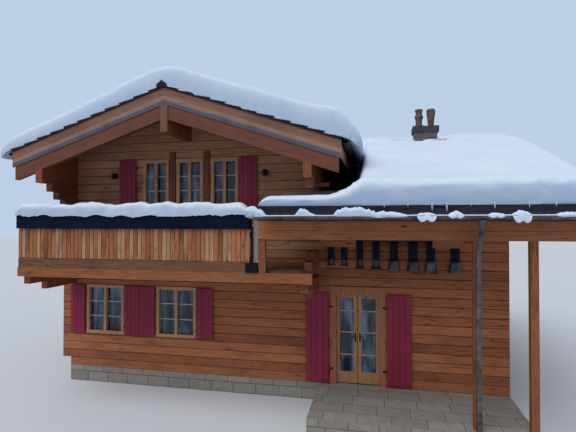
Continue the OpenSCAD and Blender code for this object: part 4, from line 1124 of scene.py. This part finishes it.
def drift(us, vs, top, bottom, inside=None):
    """A closed body of snow between two surfaces over a grid of (u, v). inside says which cells it covers."""
    bm = bmesh.new()
    upper = [[bm.verts.new(top(u, v)) for v in vs] for u in us]
    lower = [[bm.verts.new(bottom(u, v)) for v in vs] for u in us]
    covered = {
        (i, j)
        for i in range(len(us) - 1)
        for j in range(len(vs) - 1)
        if inside is None or inside((us[i] + us[i + 1]) / 2, (vs[j] + vs[j + 1]) / 2)
    }
    for i, j in covered:
        around = [(i, j), (i + 1, j), (i + 1, j + 1), (i, j + 1)]
        bm.faces.new([upper[a][b] for a, b in around])
        bm.faces.new([lower[a][b] for a, b in reversed(around)])
        beyond = [(i, j - 1), (i + 1, j), (i, j + 1), (i - 1, j)]
        for cell, (a, b), (c, d) in zip(beyond, around, around[1:] + around[:1]):
            if cell not in covered:
                bm.faces.new([upper[c][d], upper[a][b], lower[a][b], lower[c][d]])
    bmesh.ops.delete(bm, geom=[v for v in bm.verts if not v.link_faces], context="VERTS")
    bmesh.ops.remove_doubles(bm, verts=bm.verts, dist=0.0004)
    return Shape(bm)


def rounded_ends(start, end, nose, count, ends=9):
    """Places from start to end, close together over a nose at both ends."""
    first = [start + nose * (1 - math.cos(math.pi / 2 * i / ends)) for i in range(ends)]
    last = [end - (p - start) for p in reversed(first)]
    return first + even(start + nose, end - nose, count) + last


def nose_height(place, start, end, nose):
    """0 at both ends, rising round the nose to 1."""
    from_end = min(place - start, end - place)
    return 1.0 if from_end >= nose else math.sqrt(max(0.0, 1 - (1 - from_end / nose) ** 2))


def rounded(points, times=3):
    """A line through points with its corners cut again and again."""
    for _ in range(times):
        cut = [points[0]]
        for (xa, ya), (xb, yb) in zip(points, points[1:]):
            cut.append((0.75 * xa + 0.25 * xb, 0.75 * ya + 0.25 * yb))
            cut.append((0.25 * xa + 0.75 * xb, 0.25 * ya + 0.75 * yb))
        points = cut + [points[-1]]
    return points


def spaced(points, count):
    """Points at even distances along a line."""
    run = [0.0]
    for a, b in zip(points, points[1:]):
        run.append(run[-1] + math.dist(a, b))
    found = []
    k = 0
    for place in even(0.0, run[-1], count):
        while k < len(points) - 2 and run[k + 1] < place:
            k += 1
        part = (place - run[k]) / max(run[k + 1] - run[k], 1e-9)
        found.append(tuple(a + (b - a) * part for a, b in zip(points[k], points[k + 1])))
    return found


# How far the main roof's snow hangs past the tiles, its curl there as shares of that, and its depth
# over the slopes from eave to eave
SNOW_OUT = high("main_roof_snow").x - HALF_ROOF
EAVE_CURL = [(0.40, 0.0), (0.54, -0.08), (0.76, -0.22), (0.96, -0.16), (1.02, 0.2), (0.80, 0.66)]
MAIN_DEPTH = [
    (-1.02, 0.36), (-0.6, 0.38), (-0.22, 0.47), (0.0, 0.49), (0.22, 0.47), (0.6, 0.50), (0.84, 0.48),
    (0.97, 0.61), (1.02, 0.47),
]


def main_snow():
    """The blanket on the main roof, with a curl of snow hanging over each eave."""
    y0, y1 = VERGE_FRONT - 0.01, VERGE_REAR + 0.01
    root = HALF_ROOF + 0.40 * SNOW_OUT
    out = [(HALF_ROOF + a * SNOW_OUT, b * SNOW_OUT) for a, b in EAVE_CURL]
    curl = [(x, tile_line(x) + rise) for x, rise in out]
    top_line = [(a * HALF_ROOF, tile_line(a * HALF_ROOF) + b) for a, b in MAIN_DEPTH]
    outline = [(-x, z) for x, z in curl] + top_line + list(reversed(curl))
    section = spaced(rounded(outline, 4), 210)
    nose = 0.12

    def base(u):
        x = max(-root, min(root, section[u][0]))
        return x, (stepped_tiles(x) if abs(x) < HALF_ROOF else tile_line(x)) + 0.006

    def top(u, v):
        x, z = section[u]
        bx, bz = base(u)
        rise = nose_height(v, y0, y1, nose)
        uneven = 0.026 * lump(x, v, 1.0, 0.6) + 0.014 * lump(x, v, z, 2.2) + 0.006 * lump(x, v, z, 7.0)
        over = abs(x) > HALF_ROOF
        z += uneven * rise * (0.5 if over else 1.0)
        if over:
            x += math.copysign(0.022 * lump(2.0, v, z, 1.9) + 0.010 * lump(x, v, z, 6.0), x) * rise
        edge = (0.020 * lump(x, 5.0, z, 1.1) + 0.012 * lump(x, 3.0, z, 5.0)) * (1 - rise * 0.4)
        y = v + edge * (1 if v < 0 else -1) if min(v - y0, y1 - v) < nose else v
        return Vector((bx + (x - bx) * rise, y, bz + (z - bz) * rise))

    def bottom(u, v):
        x, z = base(u)
        return Vector((x, v, z))

    snow = drift(range(len(section)), rounded_ends(y0, y1, nose, 90), top, bottom)
    snow.piece("snow_on_the_main_roof", SNOW, "snow", replaces=("main_roof_snow",), smooth=75)


# The least depth of the open snow on the wing and the height of its crest
DEEP_SNOW = 0.47
WING_SNOW_TOP = 6.70
CHIMNEY_LOW, CHIMNEY_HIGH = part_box("chimney_stack")
SLAB_LEFT = PORCH_LEFT + 0.06
# The main roof keeps the wing free of snow left of this x and in front of this y
SHELTER_EDGE, SHELTER_REAR = HALF_ROOF + 0.17, -1.75
# (x, depth) of the snow at the porch's edge, and (way past the edge, share of the depth) round its nose
PORCH_FRONT = [
    (3.60, 0.180), (3.76, 0.212), (3.85, 0.256), (3.94, 0.285), (4.02, 0.330), (4.08, 0.390), (4.24, 0.470),
]
PORCH_NOSE = [(0.0, 0.0), (-0.035, 0.2), (-0.055, 0.5), (-0.03, 0.8), (0.08, 1.0), (0.14, 1.02)]


def blanket_depth(x, y):
    """Depth of the snow over the wing and the porch: next to nothing where the main roof shelters it.

    In front of the ridge it lies in one even slope, so it is deepest where the porch roof begins.
    """
    fall, bulge, hollow, hollow_reach = 0.333, 0.12, 0.21, 0.75
    if y < 0:
        even_slope = WING_SNOW_TOP - fall * abs(y) + bulge * math.sin(math.pi * (y / PORCH_EDGE))
        open_depth = max(DEEP_SNOW, even_slope - wing_line(y))
    else:
        open_depth = WING_SNOW_TOP - WING_RIDGE
    open_sky = max(soft((x - SHELTER_EDGE) / 0.30), soft((y - SHELTER_REAR) / 0.6))
    beside = max(CHIMNEY_LOW.x - x, x - CHIMNEY_HIGH.x, 0.0)
    before = max(CHIMNEY_LOW.y - y, y - CHIMNEY_HIGH.y, 0.0)
    depth = (open_depth - hollow * soft(1.0 - math.hypot(beside, before) / hollow_reach)) * open_sky
    if y < FRONT:
        edge = profile(PORCH_FRONT, x)
        depth = max(edge - 0.095 * (y - PORCH_EDGE - 0.1), 0.010 + 0.01 * edge, depth)
    uneven = 0.030 * lump(x, y, 2.0, 0.8) + 0.012 * lump(x, y, 4.0, 2.4) + 0.004 * lump(x, y, 6.0, 6.0)
    return depth + uneven * min(1.0, depth / 0.3)


def wing_snow():
    """One blanket over the wing roof and the porch roof. v below start runs round the porch edge's nose."""
    x1, y1 = high("wing_roof_snow").xy
    end = 0.24
    nose = spaced(rounded(PORCH_NOSE, 3), 15)
    start = PORCH_EDGE + nose[-1][0]

    def place(v):
        """The place along y and the share of the depth there."""
        if v >= start:
            return v, nose_height(v, -99.0, y1, end)
        k = (v - start + 1) * (len(nose) - 1)
        i = min(int(k), len(nose) - 2)
        off, share = (a + (b - a) * (k - i) for a, b in zip(nose[i], nose[i + 1]))
        return PORCH_EDGE + off, share

    def top(x, v):
        y, rise = place(v)
        rise *= nose_height(x, SLAB_LEFT if y < FRONT else -9.0, x1, end)
        roof = wing_line(max(y, PORCH_EDGE)) + 0.004
        ridge = 0.05 * max(0.0, 1 - abs(y) / 0.5) ** 2
        depth = blanket_depth(x, max(y, PORCH_EDGE + 0.05)) - ridge
        y += 0.014 * lump(x, 7.0, v, 3.0) * (1 if v < start else 0)
        return Vector((x, y, roof + depth * max(0.0, rise)))

    def bottom(x, v):
        y = max(place(v)[0], PORCH_EDGE + 0.004)
        return Vector((x, y, wing_line(y) + 0.004))

    def covered(x, v):
        if v < FRONT:
            return True
        if x < SHELTER_EDGE and v < SHELTER_REAR:
            return False
        return x > min((RIDGE - wing_line(v)) / PITCH, HALF_ROOF + 0.30) - 0.35

    from_edge = [end * (1 - math.sin(math.pi / 2 * i / 9)) for i in range(1, 10)]
    xs = [SLAB_LEFT + end * (1 - math.cos(math.pi / 2 * i / 10)) for i in range(10)]
    xs += even(SLAB_LEFT + end, x1 - end, 130) + [x1 - gap for gap in from_edge]
    ys = even(start - 1, start, 15)[:-1] + even(start, FRONT, 30)
    ys += even(FRONT, y1 - end, 100)[1:] + [y1 - gap for gap in from_edge]
    replaced = ("wing_roof_snow", "porch_roof_snow")
    drift(xs, ys, top, bottom, covered).piece("snow_on_the_wing", SNOW, "snow", replaces=replaced, smooth=75)


# Heaps in the gutter: start, end, height, hang over the rim, how pointed, share of the run before the peak
GUTTER_HEAPS = [
    (2.17, 2.50, 0.175, 0.02, 0.8, 0.36),
    (3.02, 3.46, 0.150, 0.00, 1.5, 0.30),
    (3.74, 4.50, 0.175, 0.01, 0.45, 0.45),
    (4.36, 5.02, 0.085, 0.05, 0.7, 0.40),
    (5.16, 5.48, 0.060, 0.15, 0.5, 0.5),
    (5.66, 5.92, 0.075, 0.07, 0.7, 0.5),
    (6.28, 6.56, 0.050, 0.06, 0.7, 0.5),
    (6.66, 6.95, 0.090, 0.18, 0.6, 0.5),
    (7.30, 7.75, 0.060, 0.04, 0.8, 0.4),
]


def gutter_snow():
    """What slid off the porch and lies in its gutter, in heaps that hang over the gutter's rim."""
    x0, x1 = PORCH_LEFT + 0.01, WING_VERGE - 0.02
    middle, half = GUTTER_AXIS_Y, 0.072

    def heap(x):
        """The heap's height and its hang over the rim."""
        rise, hang = 0.012, 0.0
        for a, b, tall, over, point, peak in GUTTER_HEAPS:
            if a < x < b:
                run = (x - a) / (b - a)
                legs = 0.45 + 0.55 * abs(math.cos(math.pi * (x - a) / (b - a)))
                run = run / peak * 0.5 if run < peak else 0.5 + (run - peak) / (1 - peak) * 0.5
                share = math.sin(math.pi * run) ** point
                ragged = 0.85 + 0.34 * lump(x, 1.0, 0.0, 8.0) + 0.20 * lump(x, 2.0, 0.0, 24.0)
                rise = max(rise, tall * share * ragged)
                hang = max(hang, over * share * legs)
        return rise + 0.010 * abs(lump(x, 4.0, 0.0, 12.0)) + 0.004 * lump(x, 4.0, 0.0, 30.0), hang

    def to_front(v):
        return 1 - min(1.0, v / 0.25)

    def top(x, v):
        rise, hang = heap(x)
        a, front = math.pi * v, to_front(v)
        y = middle - (half + 0.035 * front * min(1.0, hang * 12)) * math.cos(a)
        return Vector((x, y, GUTTER_TOP + rise * math.sin(a) ** 0.6 - hang * front + 0.002))

    def bottom(x, v):
        front = to_front(v)
        y = middle - (half + 0.004 * front) * math.cos(math.pi * v)
        return Vector((x, y, GUTTER_TOP - heap(x)[1] * front - 0.004))

    drift(even(x0, x1, 420), even(0, 1, 15), top, bottom).piece("snow_in_the_gutter", SNOW, "snow", smooth=70)


def balcony_heap():
    """The heap along the flower boxes, ragged where it hangs over their front."""
    start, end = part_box("balcony_snow")
    near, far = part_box("planter_boxes")
    middle, half = (near.y + far.y) / 2, (far.y - near.y) / 2
    foot, crest, nose = far.z + 0.002, end.z - far.z, 0.25

    def height(x):
        rise = nose_height(x, start.x, end.x, nose) * (1.0 - 0.55 * soft((x - end.x + 0.30) / 0.30))
        return rise * crest * (0.80 + 0.22 * lump(x, 0.0, 3.0, 1.7) + 0.10 * lump(x, 0.0, 5.0, 5.0))

    def top(x, v):
        a = math.pi * v
        rise = height(x)
        wide = (half + 0.035 + 0.02 * lump(x, v, 2.0, 4.0)) * min(1.0, rise / crest * 4.0)
        ragged = max(0.0, 0.6 + lump(x, 9.0, 0.0, 3.5)) + 0.9 * max(0.0, lump(x, 3.0, 0.0, 11.0))
        droop = -0.045 * ragged * max(0.0, 1 - v * 7) * min(1, rise * 9)
        puff = 1 + 0.10 * lump(x, v * 0.4, 7.0, 6.0)
        y = middle - wide * math.copysign(abs(math.cos(a)) ** 0.75, math.cos(a))
        return Vector((x, y, foot + rise * puff * math.sin(a) ** 0.62 + droop))

    def bottom(x, v):
        edge = top(x, 0.0 if v < 0.5 else 1.0)
        share = abs(math.cos(math.pi * v))
        return Vector((x, middle + (edge.y - middle) * share, edge.z if share > 0.999 else foot))

    snow = drift(rounded_ends(start.x, end.x, nose, 150), even(0, 1, 28), top, bottom)
    snow.piece("snow_on_the_flower_boxes", SNOW, "snow", replaces=("balcony_snow",), smooth=80)


# (middle, half sizes) of each loose lump of snow
POST_LUMPS = [
    ((2.12, -5.64, 4.215), (0.185, 0.105, 0.115)),
    ((2.055, -5.655, 4.160), (0.115, 0.100, 0.080)),
    ((1.970, -5.65, 4.205), (0.130, 0.095, 0.070)),
]
CHIMNEY_LUMPS = [
    ((CHIMNEY_HIGH.x + 0.06, CHIMNEY_LOW.y + 0.02, 6.30), (0.14, 0.18, 0.10)),
    ((CHIMNEY_LOW.x - 0.04, CHIMNEY_LOW.y + 0.04, 6.27), (0.11, 0.18, 0.09)),
    ((CHIMNEY_HIGH.x - 0.22, CHIMNEY_LOW.y - 0.05, 6.25), (0.26, 0.13, 0.075)),
]


def snow_lumps(name, lumps):
    """Loose lumps of snow, uneven all over."""
    shape = Shape()
    for number, (middle, half) in enumerate(lumps):
        bm = bmesh.new()
        bmesh.ops.create_icosphere(bm, subdivisions=4, radius=1.0)
        for vert in bm.verts:
            out = vert.co.copy()
            grow = 1.0 + 0.12 * noise.noise(out * 1.3 + Vector((number * 3.1, 0, 0)))
            grow += 0.025 * noise.noise(out * 4.0 + Vector((0, number * 2.3, 0)))
            vert.co = Vector(middle) + Vector([c * h * grow for c, h in zip(out, half)])
        shape.add(mesh_of("lump", bm))
    shape.piece(name, SNOW, "snow", smooth=80)


# Each icicle's x and drop
ICICLES = [
    (5.42, 0.105), (5.66, 0.120), (6.42, 0.070), (4.62, 0.045), (5.02, 0.035), (6.05, 0.030), (6.95, 0.060),
    (7.35, 0.040), (7.72, 0.055),
]


def icicles():
    """Drips of snow and ice along the lower edge of the porch's snow."""
    shape = Shape()
    form = [(0.0, -1.0), (0.25, -0.85), (0.6, -0.4)]
    for x, drop in ICICLES:
        wide = 0.010 + drop * 0.10
        outline = [(wide * r, drop * z) for r, z in form] + [(wide, 0.0), (wide * 1.5, 0.02), (0.0, 0.03)]
        shape.turned((x, PORCH_EDGE - 0.016, PORCH_EAVE + 0.006), outline, 14)
    shape.piece("icicles_on_the_porch_edge", SNOW, "snow", smooth=60)


def end_post_board():
    """The grey board beside the navy-black end post, whose colour is painted shade, at the balcony's end."""
    left, right, thick = 2.140, 2.236, 0.024
    start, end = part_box("balcony_end_post")
    y = end.y - 0.105
    foot, head = (left, y - thick, start.z + 0.20), (right, y - 0.0005, end.z + 0.14)
    single_board("grey_board_on_the_end_post", GREY_POST, "weathered_board", foot, head)


def lintel_plate():
    """The board on the lintel that the porch rafters sit on."""
    start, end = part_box("porch_lintel")
    near = (start.x + 0.01, start.y + 0.012, end.z - 0.001)
    far = (end.x - 0.01, end.y - 0.012, end.z + 0.075)
    single_board("plate_on_the_lintel", RAIL, "lintel_timber", near, far)


# A lever's distance from the meeting edges of the leaves and its height over their foot
LEVER_INSET, LEVER_HEIGHT = 0.045, 1.02


def door_fittings():
    """A lever and its plate on each leaf, inside and out, and the plates of the shutters' pintles."""
    for side, sign in (("left", -1), ("right", 1)):
        body = "door_leaf_" + side
        start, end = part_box(body)
        x = (end.x if side == "left" else start.x) + sign * LEVER_INSET
        z = start.z + LEVER_HEIGHT
        shape = Shape()
        for face, out in ((start.y, -1), (end.y, 1)):
            near, far = sorted((face - out * 0.001, face + out * 0.005))
            shape.block((x - 0.016, near, z - 0.10), (x + 0.016, far, z + 0.10))
            grip, neck = face + out * 0.042, z + 0.03
            lever = [(x, grip, neck), (x + sign * 0.012, grip, neck), (x + sign * 0.095, grip, z + 0.028)]
            shape.rod([(x, face, neck)] + lever, 0.0075, 12)
        shape.piece("lever_on_the_" + side + "_leaf", IRON, "dark_iron", body=body, smooth=45)
    plates = Shape()
    face = low("door_frame").y
    for node in ("door_shutter_left", "door_shutter_right"):
        side, axis, eyes = hinge_line(node)
        for z in eyes:
            x0, x1 = sorted((axis + side * 0.022, axis + side * 0.085))
            plates.block((x0, face - 0.004, z - 0.004), (x1, face + 0.001, z + 0.044))
    plates.bevel(0.0015).piece("plates_of_the_door_pintles", IRON, "dark_iron")


# The photograph's viewpoint: the place of the camera, its turn in degrees and its lens
VIEW_PLACE, VIEW_TURN, VIEW_LENS = (4.50, -13.86, 4.02), (90.8, 0.0, 11.6), 27.2
SUN_POWER, SUN_SPREAD, SUN_TURN = 1.7, 50, (36, 0, -28)
FLOOR_REACH, FLOOR_PAINT = 90.0, (214, 218, 224)
SKY_SEEN, SKY_LIGHT = (190, 207, 232), (212, 220, 231)


def camera_and_light():
    """The camera at the photograph's viewpoint, the floor, the background and soft light."""
    camera = bpy.data.cameras.new("view")
    camera.sensor_width = 36.0
    camera.lens = VIEW_LENS
    camera.clip_end = 400.0
    scene.camera = linked("view", camera)
    scene.camera.location = VIEW_PLACE
    scene.camera.rotation_euler = [math.radians(a) for a in VIEW_TURN]

    bm = bmesh.new()
    bmesh.ops.create_grid(bm, x_segments=1, y_segments=1, size=FLOOR_REACH)
    floor = linked("studio_floor", mesh_of("studio_floor", bm))
    floor.location = (0.0, 0.0, -0.002)
    paint = Finish("studio_floor_paint", 0.9)
    paint.set("Base Color", FLOOR_PAINT)
    floor.data.materials.append(paint.material)

    world = bpy.data.worlds.new("studio")
    world.use_nodes = True
    scene.world = world
    net = Net(world.node_tree)
    ray = net.node("ShaderNodeLightPath", out="Is Camera Ray")
    outs = ray.out.node.outputs
    seen = ray.most(Sock(net, outs["Is Glossy Ray"])).most(Sock(net, outs["Is Transmission Ray"]))
    glow = world.node_tree.nodes["Background"]
    net.feed(glow.inputs["Color"], net.mix(seen, SKY_LIGHT, SKY_SEEN))
    net.feed(glow.inputs["Strength"], 0.55 + seen * 0.45)

    sun = bpy.data.lights.new("soft_key", "SUN")
    sun.energy = SUN_POWER
    sun.angle = math.radians(SUN_SPREAD)
    linked("soft_key", sun).rotation_euler = [math.radians(a) for a in SUN_TURN]


slope_tiles()
ridge_caps()
wing_slates()
soffit_boards()
balcony_front()
shutter_boards()
glazing_bars()
main_snow()
wing_snow()
gutter_snow()
balcony_heap()
cow_bells()
bell_straps()
rail_boards()
purlin_facing()
eave_boards()
snow_lumps("snow_on_the_end_post", POST_LUMPS)
snow_lumps("snow_at_the_chimney", CHIMNEY_LUMPS)
icicles()
end_post_board()
lintel_plate()
door_fittings()
for made in PATTERNS:
    bpy.data.objects.remove(made)
camera_and_light()
scene.view_settings.view_transform = "Standard"
